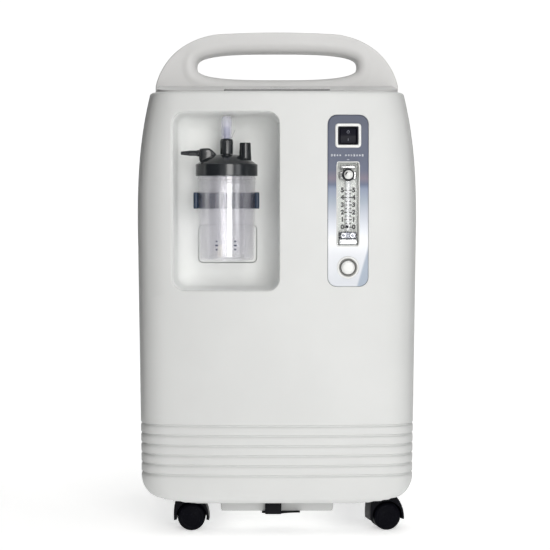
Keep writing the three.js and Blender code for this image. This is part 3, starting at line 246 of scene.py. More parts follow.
def revolve(profile, sides=96):
    """Turns a profile of radius and height about +Z: x is r cos a, y is r sin a."""
    r, z = np.asarray(profile, float).T
    a = np.linspace(0, 2 * np.pi, sides + 1)
    a[-1] = 0
    return np.stack(
        [np.outer(r, np.cos(a)), np.outer(r, np.sin(a)), np.repeat(z[:, None], sides + 1, 1)], 2
    )


def moved(p, x=0.0, y=0.0, z=0.0):
    return p + np.array([x, y, z])


def facing_front(p):
    """Turns what rises along +Z so that it points to the front."""
    return np.stack([p[..., 0], -p[..., 2], p[..., 1]], -1)


def facing_back(p):
    return np.stack([-p[..., 0], p[..., 2], p[..., 1]], -1)


def turned(p, degrees, x=0.0, y=0.0):
    """Turns points about an upright axis through x and y."""
    a = math.radians(degrees)
    dx, dy = p[..., 0] - x, p[..., 1] - y
    return np.stack(
        [
            x + dx * math.cos(a) - dy * math.sin(a),
            y + dx * math.sin(a) + dy * math.cos(a),
            p[..., 2],
        ],
        -1,
    )


def lathe(profile, at, sides=96, turn=None):
    p = revolve(profile, sides)
    if turn:
        p = turn(p)
    return Patches().grid(moved(p, *at))


def round_rect(q, a, b, r):
    """Carries points on the rim of the square from -1 to 1 to the rim of a rectangle of half sizes a and b
    whose corners are arcs of radius r: along the sides by scaling, in the corners along rays from the
    arc's centre."""
    x, z = q[:, 0] * a, q[:, 1] * b
    cx, cz = np.clip(x, r - a, a - r), np.clip(z, r - b, b - r)
    dx, dz = x - cx, z - cz
    size = np.hypot(dx, dz)
    size[size < 1e-9] = 1
    corner = (np.abs(dx) > 1e-9) & (np.abs(dz) > 1e-9)
    reach = np.where(corner, r / size, 1)
    return np.stack([cx + dx * reach, cz + dz * reach], 1)


def at_depth(at, y):
    """Points of x and z placed at a depth y, one for all or one each."""
    return np.stack([at[:, 0], np.broadcast_to(y, len(at)), at[:, 1]], 1)


def edge_of(p):
    """The points round a grid's edge, in order, with the first repeated at the end."""
    return np.concatenate([p[0, :-1], p[:-1, -1], p[-1, :0:-1], p[::-1, 0]])


def edge_cells(rows, cols):
    """Row and column numbers round a grid's edge, in order, with the first repeated at the end."""
    k, i = rows - 1, cols - 1
    loop = [(0, c) for c in range(i)] + [(c, i) for c in range(k)] + [(k, c) for c in range(i, 0, -1)]
    return np.array(loop + [(c, 0) for c in range(k, 0, -1)] + [(0, 0)]).T


def rim_of_square(n):
    """Points round the square from -1 to 1, n to a side, with the first repeated at the end."""
    t = np.linspace(-1, 1, n + 1)[:-1]
    one = np.ones(n)
    loop = np.concatenate(
        [np.stack([t, -one], 1), np.stack([one, t], 1), np.stack([-t, one], 1), np.stack([-one, -t], 1)]
    )
    return np.concatenate([loop, loop[:1]])


def corner_rings(radius, steps=5):
    """Inset and depth along a quarter round: radius (1 - sin a) across and radius (1 - cos a) down."""
    a = np.linspace(0, np.pi / 2, steps + 1)
    return radius * (1 - np.sin(a)), radius * (1 - np.cos(a))


def pad(cx, cz, a, b, r, front, back, edge, y_of=None, n=24, fill=1):
    """A plate that faces the front: a rounded rectangle whose front edge is a quarter round of size edge.
    Its face lies at the depth that y_of gives, moved by front; its back at back."""
    rim = rim_of_square(n)
    y_of = y_of or (lambda x, z: 0 * x)
    rows = []
    for share in np.linspace(0, 1, fill + 1)[:-1]:
        at = round_rect(rim, a - edge, b - edge, max(r - edge, 0.05)) * share
        rows.append((at, 0.0))
    across, down = corner_rings(edge)
    for s, d in zip(across, down):
        rows.append((round_rect(rim, a - s, b - s, max(r - s, 0.05)), d))
    grid = []
    for at, d in rows:
        x, z = cx + at[:, 0], cz + at[:, 1]
        grid.append(np.stack([x, y_of(x, z) + front + d, z], 1))
    x, z = grid[-1][:, 0], grid[-1][:, 2]
    wall = np.stack([x, y_of(x, z) + back, z], 1)
    grid.append(wall)
    end = np.repeat(wall.mean(0)[None], len(wall), 0)
    grid.append(end)
    return Patches().grid(np.array(grid))


def slab(cx, cy, a, b, r, low, high, edge, taper=0.0, n=16, patches=None):
    """An upright block: rounded rectangles in plan with quarter rounds along the top and bottom edges.
    Taper draws the foot in."""
    rim = rim_of_square(n)
    across, down = corner_rings(edge, 4)
    rows = [(0, high, 0.0)]
    rows += [(1, high - d, s) for s, d in zip(across, down)]
    rows += [(1, low + d, s) for s, d in zip(across[::-1], down[::-1])]
    rows += [(0, low, 0.0)]
    grid = []
    for share, z, s in rows:
        inward = s + taper * (high - z) / (high - low)
        at = round_rect(rim, a - inward, b - inward, max(r - s, 0.05)) * share
        grid.append(np.stack([cx + at[:, 0], cy + at[:, 1], np.full(len(at), z)], 1))
    return (patches or Patches()).grid(np.array(grid))


def lines(edges, step):
    """Sorted positions that hold every edge, with gaps no wider than step."""
    edges = sorted(set(round(float(e), 4) for e in edges))
    parts = [
        np.linspace(a, b, max(1, math.ceil((b - a) / step)) + 1)[:-1] for a, b in zip(edges, edges[1:])
    ]
    return np.concatenate([*parts, [edges[-1]]])


def pierce(patches, p, holes, y_of, inward):
    """Leaves blocks of cells out of a grid and fills each with rings from the block's edge to the hole,
    then with the quarter round and wall that lead into it."""
    keep = np.ones((p.shape[0] - 1, p.shape[1] - 1), bool)
    for (k0, k1, i0, i1), (cx, cz, a, b, r), lip, depth in holes:
        keep[k0:k1, i0:i1] = False
        loop = [(k0, i) for i in range(i0, i1)] + [(k, i1) for k in range(k0, k1)]
        loop += [(k1, i) for i in range(i1, i0, -1)] + [(k, i0) for k in range(k1, k0, -1)]
        loop.append(loop[0])
        k, i = np.array(loop).T
        edge = p[k, i]
        left, right = np.minimum(p[k, i0, 0], p[k, i1, 0]), np.maximum(p[k, i0, 0], p[k, i1, 0])
        q = np.stack(
            [
                2 * (edge[:, 0] - left) / (right - left) - 1,
                2 * (edge[:, 2] - p[k0, i0, 2]) / (p[k1, i0, 2] - p[k0, i0, 2]) - 1,
            ],
            1,
        )
        mouth = round_rect(q, a + lip, b + lip, r + lip) + (cx, cz)
        rows = [edge]
        for t in (0.35, 0.65, 0.87):
            at = edge[:, [0, 2]] * (1 - t) + mouth * t
            rows.append(at_depth(at, y_of(at[:, 0], at[:, 1])))
        across, down = corner_rings(lip)
        for s, d in [*zip(across, down), (0.0, depth)]:
            at = round_rect(q, a + s, b + s, r + s) + (cx, cz)
            rows.append(np.stack([at[:, 0], y_of(at[:, 0], at[:, 1]) + inward * d, at[:, 1]], 1))
        patches.grid(np.array(rows))
    patches.grid(p, keep)
    return patches


def applied(obj):
    """Replaces an object's mesh by what its modifiers make of it."""
    bpy.context.view_layer.update()
    made = bpy.data.meshes.new_from_object(obj.evaluated_get(bpy.context.evaluated_depsgraph_get()))
    obj.modifiers.clear()
    obj.data = made
    return obj


def printed(name, text, size, at, finish, body, depth=0.05, bold=0.44):
    """A printed figure or sign: a thin raised outline on a face that looks to the front."""
    curve = bpy.data.curves.new(name, "FONT")
    curve.body = text
    curve.size = size * MM
    curve.align_x = curve.align_y = "CENTER"
    curve.extrude = depth * MM
    curve.offset = bold * MM
    obj = bpy.data.objects.new(name + "_shape", curve)
    bpy.context.scene.collection.objects.link(obj)
    bpy.context.view_layer.update()
    data = bpy.data.meshes.new_from_object(obj.evaluated_get(bpy.context.evaluated_depsgraph_get()))
    bpy.data.objects.remove(obj)
    co = np.empty(len(data.vertices) * 3)
    data.vertices.foreach_get("co", co)
    co = co.reshape(-1, 3)
    placed = np.stack([co[:, 0], -co[:, 2], co[:, 1]], 1) + np.array(at) * MM
    data.vertices.foreach_set("co", placed.ravel())
    data.name = name
    data.materials.clear()
    data.update()
    return piece(name, data, finish, body)


# ------------------------------------------------------------------ form of the covers
def drawn_in(distance, reach, size):
    """How far a quarter round has drawn in: size (1 - sqrt(1 - (distance / reach)^2))."""
    d = np.clip(distance, 0, reach) / reach
    return size * (1 - np.sqrt(1 - d**2))


def half_width(z):
    """Half the width at a height: flat flanks, a lean-in above the waist and a round under each side."""
    z = np.asarray(z, float)
    lean = 17 * (np.clip(z - WAIST_Z, 0, None) / (RIM_Z - WAIST_Z)) ** 2.5
    flank = 4.5 * np.clip(WAIST_Z - z, 0, None) / (WAIST_Z - SKIRT_Z)
    return HALF_WIDTH - lean - flank - drawn_in(SKIRT_Z + SKIRT_ROUND_Z - z, SKIRT_ROUND_Z, SKIRT_ROUND_X)


def reach_of(z):
    return HALF_DEPTH - drawn_in(SKIRT_Z + SKIRT_FILLET - np.asarray(z, float), SKIRT_FILLET, SKIRT_FILLET)


def wrap(section, t, w, reach, corner, bow):
    """Half of the covers' plan, from the seam on the right, round the face, to the seam on the left.
    Sections -2 and 2 are the flat sides, -1 and 1 the parabolic corners, 0 the face, bowed by
    bow (x / flat)^2. Gives x and the distance from the seam."""
    flat = w - corner
    turn = reach - bow - 2 * bow * corner / flat
    side_x, side_d = w + 0 * t, t * (turn - corner)
    corner_x = w * (1 - t**2) + flat * t**2
    corner_d = (1 - t) ** 2 * (turn - corner) + 2 * t * (1 - t) * turn + t**2 * (reach - bow)
    face_x, face_d = t * flat, reach - bow * t**2
    kind = np.abs(section)
    x = np.where(kind == 2, side_x, np.where(kind == 1, corner_x, 0)) * np.where(section < 0, -1, 1)
    x = np.where(kind == 0, face_x, x)
    return x, np.where(kind == 2, side_d, np.where(kind == 1, corner_d, face_d))


def face_depth(x, z, front=True):
    """Depth of the covers' face at x and z, corners included."""
    corner, bow = (FRONT_CORNER, BULGE) if front else (REAR_CORNER, 0.0)
    w, reach = half_width(z), reach_of(z)
    flat = w - corner
    turn = reach - bow - 2 * bow * corner / flat
    t = 1 - np.sqrt(np.clip((w - np.abs(x)) / corner, 0, 1))
    bent = (reach - bow) * (1 - t) ** 2 + 2 * t * (1 - t) * turn + (turn - corner) * t**2
    d = np.where(np.abs(x) <= flat, reach - bow * (x / flat) ** 2, bent)
    return SEAM_Y - d if front else SEAM_Y + d


def front_y(x, z):
    return face_depth(x, z, True)


def rear_y(x, z):
    return face_depth(x, z, False)


def cover_rows(edges, depth):
    """Heights of the cover's rows with their inset: a turned-in foot, the skirt's round, grooves, the
    face, the rim's quarter round and the lip down to the roof."""
    rows = [(SKIRT_Z + 3, 4.2), (SKIRT_Z + 0.8, 4.0), (SKIRT_Z, 3.2), (SKIRT_Z, 1.5)]
    a = np.linspace(np.pi / 2, 0, 19)
    rows += [(SKIRT_Z + SKIRT_ROUND_Z * (1 - math.sin(v)), 0.0) for v in a]
    t = np.array([0, 0.06, 0.14, 0.22, 0.3, 0.4, 0.55, 0.7, 0.85, 1.0])
    into = np.sin(np.minimum(t / 0.3, 1) * np.pi / 2) ** 1.5
    shape = np.where(t < 0.3, into, np.cos((t - 0.3) / 0.7 * np.pi / 2) ** 1.6)
    for top in GROOVE_TOPS:
        rows += [(top - GROOVE_WIDTH * v, depth * s) for v, s in zip(t, shape)]
        rows += [(top - GROOVE_WIDTH - 4.1, 0.0)]
    upper = RIM_Z - RIM_FILLET
    rows += [(z, 0.0) for z in lines([GROOVE_TOPS[0] + 4, *edges, upper], 4.2)]
    a = np.linspace(0, np.pi / 2, 7)[1:]
    rows += [(upper + RIM_FILLET * math.sin(v), RIM_FILLET * (1 - math.cos(v))) for v in a]
    rows += [(RIM_Z, 6.6), (RIM_Z - 0.5, 7.1), (RIM_Z - 7, 7.1)]
    order = sorted(range(4, len(rows) - 9), key=lambda i: rows[i][0])
    kept = [rows[i] for i in order]
    kept = [a for a, b in zip(kept, kept[1:] + [(1e9, 0)]) if b[0] - a[0] > 0.02]
    return np.array(rows[:4] + kept + rows[-9:])


def cover_grid(front, columns, edges, depth):
    """The whole half cover as a grid: rows up the height, columns from seam to seam round the face."""
    corner, bow = (FRONT_CORNER, BULGE) if front else (REAR_CORNER, 0.0)
    z, inset = cover_rows(edges, depth).T
    lip_a = np.linspace(np.pi / 2, 0, 5)
    lip_in = np.concatenate([[3.0], 0.9 * (1 - np.cos(lip_a))])
    lip_back = np.concatenate([[0.0], 0.9 * (1 - np.sin(lip_a))])
    sides = np.linspace(0, 1, 37)[1:]
    bends = np.linspace(0, 1, 15)[1:]
    section = np.concatenate(
        [np.full(42, 2), np.full(14, 1), np.zeros(len(columns)), np.full(14, -1), np.full(42, -2)]
    )
    half = np.concatenate([np.zeros(6), sides, bends])
    t = np.concatenate([half, columns[::-1], half[::-1]])
    extra_in = np.concatenate([lip_in, np.zeros(len(t) - 12), lip_in[::-1]])
    extra_y = np.concatenate([lip_back + SEAM_GAP, np.zeros(len(t) - 12), (lip_back + SEAM_GAP)[::-1]])
    fade = np.ones(len(t))
    if not front:
        fade = np.where(section == 0, 0, np.where(np.abs(section) == 1, np.clip(1 - 3 * t, 0, 1), 1))
    is_groove = (z > GROOVE_TOPS[-1] - 12) & (z < GROOVE_TOPS[0] + 2)
    inset2 = inset[:, None] * np.where(is_groove[:, None], fade[None], 1) + extra_in[None]
    base_z = np.clip(z, None, RIM_Z - RIM_FILLET)
    w = half_width(base_z)[:, None] - inset2
    reach = reach_of(base_z)[:, None] - inset2
    x, d = wrap(section[None], np.repeat(t[None], len(z), 0), w, reach, corner, bow)
    d = np.where(extra_y[None] > 0, extra_y[None] + 0 * d, np.maximum(d, 1.05 * (np.abs(section) < 3)))
    y = SEAM_Y - d if front else SEAM_Y + d
    level = np.repeat(z[:, None], len(t), 1)
    if front:
        # The foot line is drawn up in the middle and down towards the corners, fading out at the seam.
        near = np.clip(1 - (level - SKIRT_Z) / SKIRT_ROUND_Z, 0, 1) ** 2 * np.clip((SEAM_Y - y) / 70, 0, 1)
        level = level + near * (1.9 - 3.5 * np.clip(np.abs(x) / 137, 0, 1) ** 2)
    return lift_wells(np.stack([x, y, level], 2))


def block(p, x0, x1, z0, z1):
    """Rows and columns of a cover grid that enclose the given rectangle of its face."""
    z = p[:, 0, 2]
    upright = (z > 60) & (z < RIM_Z - RIM_FILLET)
    k0 = np.where(upright & (z <= z0 + 0.01))[0][-1]
    k1 = np.where(upright & (z >= z1 - 0.01))[0][0]
    face = np.arange(p.shape[1])[49:-49]
    xs = p[k0 : k1 + 1, :, 0]
    left = [i for i in face if xs[:, i].max() <= x0]
    right = [i for i in face if xs[:, i].min() >= x1]
    return k0, k1, max(right), min(left)


# ------------------------------------------------------------------ finishes
def shader_group(name, inputs, outputs, build):
    """A node group with named sockets, made once."""
    if name in bpy.data.node_groups:
        return bpy.data.node_groups[name]
    tree = bpy.data.node_groups.new(name, "ShaderNodeTree")
    for label, kind, value in inputs:
        socket = tree.interface.new_socket(label, in_out="INPUT", socket_type=kind)
        if value is not None:
            socket.default_value = value
    for label, kind in outputs:
        tree.interface.new_socket(label, in_out="OUTPUT", socket_type=kind)
    build(tree, tree.nodes.new("NodeGroupInput"), tree.nodes.new("NodeGroupOutput"))
    return tree


def node(tree, kind, links=(), **values):
    """A node with its settings and sockets filled in; links pairs an input with the output it takes."""
    made = tree.nodes.new(kind)
    for key, value in values.items():
        if hasattr(made, key) and key not in made.inputs:
            setattr(made, key, value)
        else:
            made.inputs[key].default_value = value
    for key, source in links:
        tree.links.new(source, made.inputs[key])
    return made


def spread_over(tree, source, low, high, to_low=0.0, to_high=1.0, **values):
    """A value carried from the range low to high to the range to_low to to_high."""
    ends = {"From Min": low, "From Max": high, "To Min": to_low, "To Max": to_high}
    return node(tree, "ShaderNodeMapRange", [("Value", source)], **ends, **values)


def grain_group():
    """Moulding grain: fine noise for the spark texture and broad noise for the slow ripple of a wall."""

    def build(tree, given, out):
        links = [("Vector", given.outputs["Vector"]), ("Scale", given.outputs["Scale"])]
        fine = node(tree, "ShaderNodeTexNoise", links, Detail=3.0, Roughness=0.6)
        broad = node(tree, "ShaderNodeTexNoise", [("Vector", given.outputs["Vector"])], Scale=14.0,
                     Detail=2.0)
        mixed = node(tree, "ShaderNodeMath", [(0, broad.outputs["Fac"])], operation="MULTIPLY")
        tree.links.new(given.outputs["Ripple"], mixed.inputs[1])
        total = node(tree, "ShaderNodeMath", [(0, fine.outputs["Fac"]), (1, mixed.outputs[0])],
                     operation="ADD")
        tree.links.new(total.outputs[0], out.inputs["Height"])
        tree.links.new(broad.outputs["Fac"], out.inputs["Cloud"])

    return shader_group(
        "moulding_grain",
        [("Vector", "NodeSocketVector", None), ("Scale", "NodeSocketFloat", 900.0),
         ("Ripple", "NodeSocketFloat", 1.0)],
        [("Height", "NodeSocketFloat"), ("Cloud", "NodeSocketFloat")],
        build,
    )


def wear_group():
    """Handling marks: clouds that change tint and gloss a little, and sparse fine scuffs."""

    def build(tree, given, out):
        cloud = node(tree, "ShaderNodeTexNoise", [("Vector", given.outputs["Vector"])], Scale=9.0, Detail=4.0)
        scuff = node(tree, "ShaderNodeTexNoise", [("Vector", given.outputs["Vector"])], Scale=160.0,
                     Detail=5.0)
        sparse = spread_over(tree, scuff.outputs["Fac"], 0.62, 0.8)
        tint = spread_over(tree, cloud.outputs["Fac"], 0.35, 0.65)
        tree.links.new(given.outputs["Amount"], tint.inputs["To Max"])
        gloss = node(tree, "ShaderNodeMath", [(0, sparse.outputs[0]), (1, cloud.outputs["Fac"])],
                     operation="ADD")
        tree.links.new(tint.outputs[0], out.inputs["Tint"])
        tree.links.new(gloss.outputs[0], out.inputs["Gloss"])

    return shader_group(
        "handling_marks",
        [("Vector", "NodeSocketVector", None), ("Amount", "NodeSocketFloat", 0.5)],
        [("Tint", "NodeSocketFloat"), ("Gloss", "NodeSocketFloat")],
        build,
    )


def base_material(name):
    material = bpy.data.materials.new(name)
    material.use_nodes = True
    tree = material.node_tree
    return material, tree, tree.nodes["Principled BSDF"]


def detail(tree, shader, base, dark, rough, spread, grain, height, ripple=0.6, amount=0.5):
    """Gives a shader its grain, its clouded tint between base and dark, and its uneven gloss."""
    place = node(tree, "ShaderNodeTexCoord")
    vector = place.outputs["Object"]
    rough_grain = node(tree, "ShaderNodeGroup", node_tree=grain_group())
    tree.links.new(vector, rough_grain.inputs["Vector"])
    rough_grain.inputs["Scale"].default_value = grain
    rough_grain.inputs["Ripple"].default_value = ripple
    marks = node(tree, "ShaderNodeGroup", node_tree=wear_group())
    tree.links.new(vector, marks.inputs["Vector"])
    marks.inputs["Amount"].default_value = amount
    bump = node(tree, "ShaderNodeBump", [("Height", rough_grain.outputs["Height"])], Strength=1.0,
                Distance=height)
    tree.links.new(bump.outputs[0], shader.inputs["Normal"])
    gloss = spread_over(tree, marks.outputs["Gloss"], 0.0, 1.0, rough - spread, rough + spread)
    tree.links.new(gloss.outputs[0], shader.inputs["Roughness"])
    tint = node(tree, "ShaderNodeMix", [("Factor", marks.outputs["Tint"])], data_type="RGBA")
    tint.inputs[7].default_value = (*dark, 1)
    if isinstance(base, tuple):
        tint.inputs[6].default_value = (*base, 1)
    else:
        tree.links.new(base, tint.inputs[6])
    tree.links.new(tint.outputs[2], shader.inputs["Base Color"])
    return vector


def plastic(
    name, base, rough=0.42, spread=0.06, grain=1100.0, height=2.5e-5, ripple=0.6, coat=0.0, amount=0.5,
    shine=0.5
):
    """Moulded plastic or rubber with grain, handling marks and, if asked, a clear coat."""
    material, tree, shader = base_material(name)
    dark = tuple(c * 0.93 for c in base)
    detail(tree, shader, tuple(base), dark, rough, spread, grain, height, ripple, amount)
    shader.inputs["Specular IOR Level"].default_value = shine
    if coat:
        shader.inputs["Coat Weight"].default_value = coat
        shader.inputs["Coat Roughness"].default_value = 0.08
    return material


def metal(name, base, rough=0.32, grain=(4, 4, 700), height=1.2e-5, spread=0.08):
    """Metal with fine lines along one direction, stretched noise as relief and uneven gloss."""
    material, tree, shader = base_material(name)
    shader.inputs["Metallic"].default_value = 1.0
    dark = tuple(c * 0.8 for c in base)
    vector = detail(tree, shader, tuple(base), dark, rough, spread, 400.0, height)
    stretch = node(tree, "ShaderNodeMapping", [("Vector", vector)], Scale=grain)
    streak = node(tree, "ShaderNodeTexNoise", [("Vector", stretch.outputs[0])], Scale=6.0, Detail=4.0)
    bump = node(tree, "ShaderNodeBump", [("Height", streak.outputs["Fac"])], Strength=1.0, Distance=height)
    tree.links.new(bump.outputs[0], shader.inputs["Normal"])
    return material


def clear(name, tint, rough, through=1.0, height=0.0, grain=60.0, body=0.5, coat=0.0, coat_ior=1.5):
    """Clear or frosted plastic: transmission with a faint moulding ripple; body is the share of light it
    bends, and the rest goes straight through the thin wall."""
    material, tree, shader = base_material(name)
    shader.inputs["Base Color"].default_value = (*tint, 1)
    shader.inputs["Roughness"].default_value = rough
    shader.inputs["IOR"].default_value = 1.45
    shader.inputs["Transmission Weight"].default_value = through
    shader.inputs["Alpha"].default_value = body
    shader.inputs["Coat Weight"].default_value = coat
    shader.inputs["Coat Roughness"].default_value = 0.04
    shader.inputs["Coat IOR"].default_value = coat_ior
    if height:
        place = node(tree, "ShaderNodeTexCoord")
        noise = node(tree, "ShaderNodeTexNoise", [("Vector", place.outputs["Object"])], Scale=grain,
                     Detail=2.0)
        bump = node(tree, "ShaderNodeBump", [("Height", noise.outputs["Fac"])], Strength=1.0, Distance=height)
        tree.links.new(bump.outputs[0], shader.inputs["Normal"])
    return material


# Slope and place, in millimetres, of the diagonal edge of the painted reflection on the panel film.
PAINTED_REFLECTION_SLOPE, PAINTED_REFLECTION_X, PAINTED_REFLECTION_Z = 0.283, 102.0, 322.0


def panel_film():
    """Printed metallic film: slate above, a thin warm band, then silver that pales towards the foot."""
    s = settings("panel")
    material, tree, shader = base_material("panel_film")
    place = node(tree, "ShaderNodeTexCoord")
    axes = node(tree, "ShaderNodeSeparateXYZ", [("Vector", place.outputs["Object"])])
    low, high = (PANEL[1] - PANEL[3]) * MM, (PANEL[1] + PANEL[3]) * MM
    share = spread_over(tree, axes.outputs["Z"], low, high)
    ramp = node(tree, "ShaderNodeValToRGB", [("Fac", share.outputs[0])])
    stops = [
        (0.0, (0.6, 0.62, 0.66)),
        (0.18, tuple(s.foot)),
        (0.27, (0.83, 0.84, 0.86)),
        (0.34, (0.68, 0.7, 0.75)),
        (0.5, (0.34, 0.38, 0.45)),
        (0.57, (0.24, 0.28, 0.37)),
        (0.595, (0.13, 0.155, 0.225)),
        (0.63, (0.2, 0.175, 0.22)),
        (0.68, (0.125, 0.14, 0.195)),
        (1.0, tuple(s.top)),
    ]
    elements = ramp.color_ramp.elements
    elements[0].position, elements[0].color = stops[0][0], (*stops[0][1], 1)
    elements[1].position, elements[1].color = stops[-1][0], (*stops[-1][1], 1)
    for position, value in stops[1:-1]:
        element = elements.new(position)
        element.color = (*value, 1)
    shader.inputs["Specular IOR Level"].default_value = 0.12
    # Painted reflection: past a diagonal line across the lower right of the film, the print is mixed towards
    # blue-grey to stand in for a reflection.
    rise = node(tree, "ShaderNodeMath", [(0, axes.outputs["Z"])], operation="MULTIPLY_ADD")
    rise.inputs[1].default_value = -PAINTED_REFLECTION_SLOPE
    rise.inputs[2].default_value = (PAINTED_REFLECTION_Z * PAINTED_REFLECTION_SLOPE - PAINTED_REFLECTION_X) * MM
    side = node(tree, "ShaderNodeMath", [(0, axes.outputs["X"]), (1, rise.outputs[0])], operation="ADD")
    painted_reflection_mask = spread_over(tree, side.outputs[0], -1.5 * MM, 2.5 * MM, 0.0, 0.75,
                        interpolation_type="SMOOTHSTEP")
    painted_reflection_mix = node(tree, "ShaderNodeMix", [("Factor", painted_reflection_mask.outputs[0]), (6, ramp.outputs["Color"])],
                data_type="RGBA")
    painted_reflection_mix.inputs[7].default_value = (0.26, 0.32, 0.41, 1)
    detail(tree, shader, painted_reflection_mix.outputs[2], (0.5, 0.52, 0.56), 0.42, 0.05, 1600.0, 6e-6, 0.3, 0.04)
    return material


def foam(name, base):
    """Open-celled filter foam: cell walls from a Voronoi pattern as relief and shade."""
    material, tree, shader = base_material(name)
    place = node(tree, "ShaderNodeTexCoord")
    cells = node(tree, "ShaderNodeTexVoronoi", [("Vector", place.outputs["Object"])], Scale=900.0)
    bump = node(tree, "ShaderNodeBump", [("Height", cells.outputs["Distance"])], Strength=1.0, Distance=6e-4)
    ramp = node(tree, "ShaderNodeMix", [("Factor", cells.outputs["Distance"])], data_type="RGBA")
    ramp.inputs[6].default_value = (*(c * 0.3 for c in base), 1)
    ramp.inputs[7].default_value = (*base, 1)
    tree.links.new(ramp.outputs[2], shader.inputs["Base Color"])
    tree.links.new(bump.outputs[0], shader.inputs["Normal"])
    shader.inputs["Roughness"].default_value = 0.95
    return material


FINISH = {}


def finishes():
    """Makes every finish once and keeps it by name."""
    if FINISH:
        return FINISH
    c, b, p, g = settings("casing"), settings("bottle"), settings("panel"), settings("gear")
    FINISH.update(
        cover=plastic("cover_plastic", tuple(c.cover), 0.46, 0.05, 1300.0, 2.0e-5, 0.5, shine=0.4),
        # Lighter than the cover as painted light for the recess.
        niche=plastic("niche_plastic_painted_light", tuple(c.niche), 0.5, 0.05, 1300.0, 2.0e-5, 0.5, shine=0.3),
        handle=plastic("handle_plastic", tuple(c.handle), 0.5, 0.05, 1300.0, 2.0e-5, 0.5, shine=0.3),
        lid=plastic("lid_plastic", tuple(b.lid), 0.2, 0.04, 1500.0, 1.0e-5, 0.3, shine=0.6),
        clip=plastic("clip_rubber", tuple(b.clip), 0.4, 0.06, 1500.0, 2.0e-5),
        jar=clear("jar_plastic", tuple(b.jar), 0.12, 0.8, 4.0e-5, body=0.3, coat=1.0, coat_ior=2.7),
        cap=clear("dust_cap_plastic", (0.78, 0.78, 0.9), 0.3, 0.3, 2.0e-5, body=0.36, coat=0.6),
        acrylic=clear("flowmeter_acrylic", (0.97, 0.98, 0.98), 0.05, 1.0, body=0.12),
        tube=clear("flow_tube_acrylic", (0.97, 0.98, 1.0), 0.1, 0.1, body=0.85, coat=0.6),
        zinc=metal("dull_plated_metal", (0.34, 0.345, 0.35), 0.3, (40, 40, 700), 4e-6, 0.05),
        dark_chrome=metal("dark_plated_metal", (0.1, 0.105, 0.12), 0.2, (40, 40, 700), 4e-6, 0.05),
        barb=plastic("barb_plastic", (0.035, 0.06, 0.2), 0.35, 0.05, 1500.0, 1.5e-5),
        cream=plastic("diffuser_sinter", (0.92, 0.9, 0.84), 0.8, 0.08, 2200.0, 1.2e-4, 0.3),
        panel=panel_film(),
        trim=plastic("white_trim", tuple(p.trim), 0.28, 0.04, 1600.0, 1.0e-5, 0.4, 0.25),
        grommet=plastic("grommet_rubber", (0.36, 0.355, 0.34), 0.5, 0.05, 1600.0, 1.0e-5),
        ink=plastic("scale_ink", tuple(p.ink), 0.5, 0.04, 1600.0, 4.0e-6),
        sign=plastic("white_ink", (0.5, 0.52, 0.57), 0.5, 0.04, 1600.0, 4.0e-6),
        marks=plastic("level_ink", (0.05, 0.06, 0.11), 0.5, 0.04, 1600.0, 4.0e-6),
        faint=plastic("faint_ink", (0.35, 0.36, 0.42), 0.5, 0.04, 1600.0, 4.0e-6),
        switch=plastic("switch_plastic", (0.003, 0.003, 0.009), 0.34, 0.05, 1600.0, 8.0e-6, shine=0.12),
        backing=plastic("scale_backing", (0.72, 0.74, 0.72), 0.35, 0.05, 900.0, 8.0e-6),
        chrome=metal("plated_metal", (0.72, 0.73, 0.75), 0.16, (40, 40, 700), 4e-6, 0.05),
        steel=metal("sheet_steel", (0.5, 0.51, 0.52), 0.34, (3, 500, 3)),
        cast=metal("cast_aluminium", (0.52, 0.53, 0.54), 0.5, (120, 120, 120), 1.2e-4, 0.08),
        black=plastic("caster_plastic", tuple(g.black), 0.36, 0.07, 1200.0, 2.5e-5, shine=0.06),
        tyre=plastic("wheel_plastic", tuple(g.black), 0.42, 0.07, 1400.0, 3.0e-5, shine=0.03),
        rubber=plastic("baffle_rubber", tuple(g.black), 0.6, 0.07, 1500.0, 4.0e-5, shine=0.15),
        lens=plastic("display_window", (0.006, 0.006, 0.008), 0.16, 0.02, 600.0, 1.0e-6, 0.2, shine=0.03),
        foam=foam("filter_foam", (0.06, 0.062, 0.066)),
        board=plastic("circuit_board", (0.02, 0.14, 0.06), 0.35, 0.06, 500.0, 6.0e-5),
    )
    return FINISH


# ------------------------------------------------------------------ covers, niche and roof
def lift_wells(p):
    """Lifts the skirt over the sweep of each caster: within 41 of a stem it goes up to the deck."""
    p = p.copy()
    for name in CASTERS:
        x, y = stem_of(name)
        r = np.hypot(p[..., 0] - x, p[..., 1] - y)
        p[..., 2] = np.where((r < 41) & (p[..., 2] < 57), 57 + (p[..., 2] - 57) * 0.02, p[..., 2])
    return p


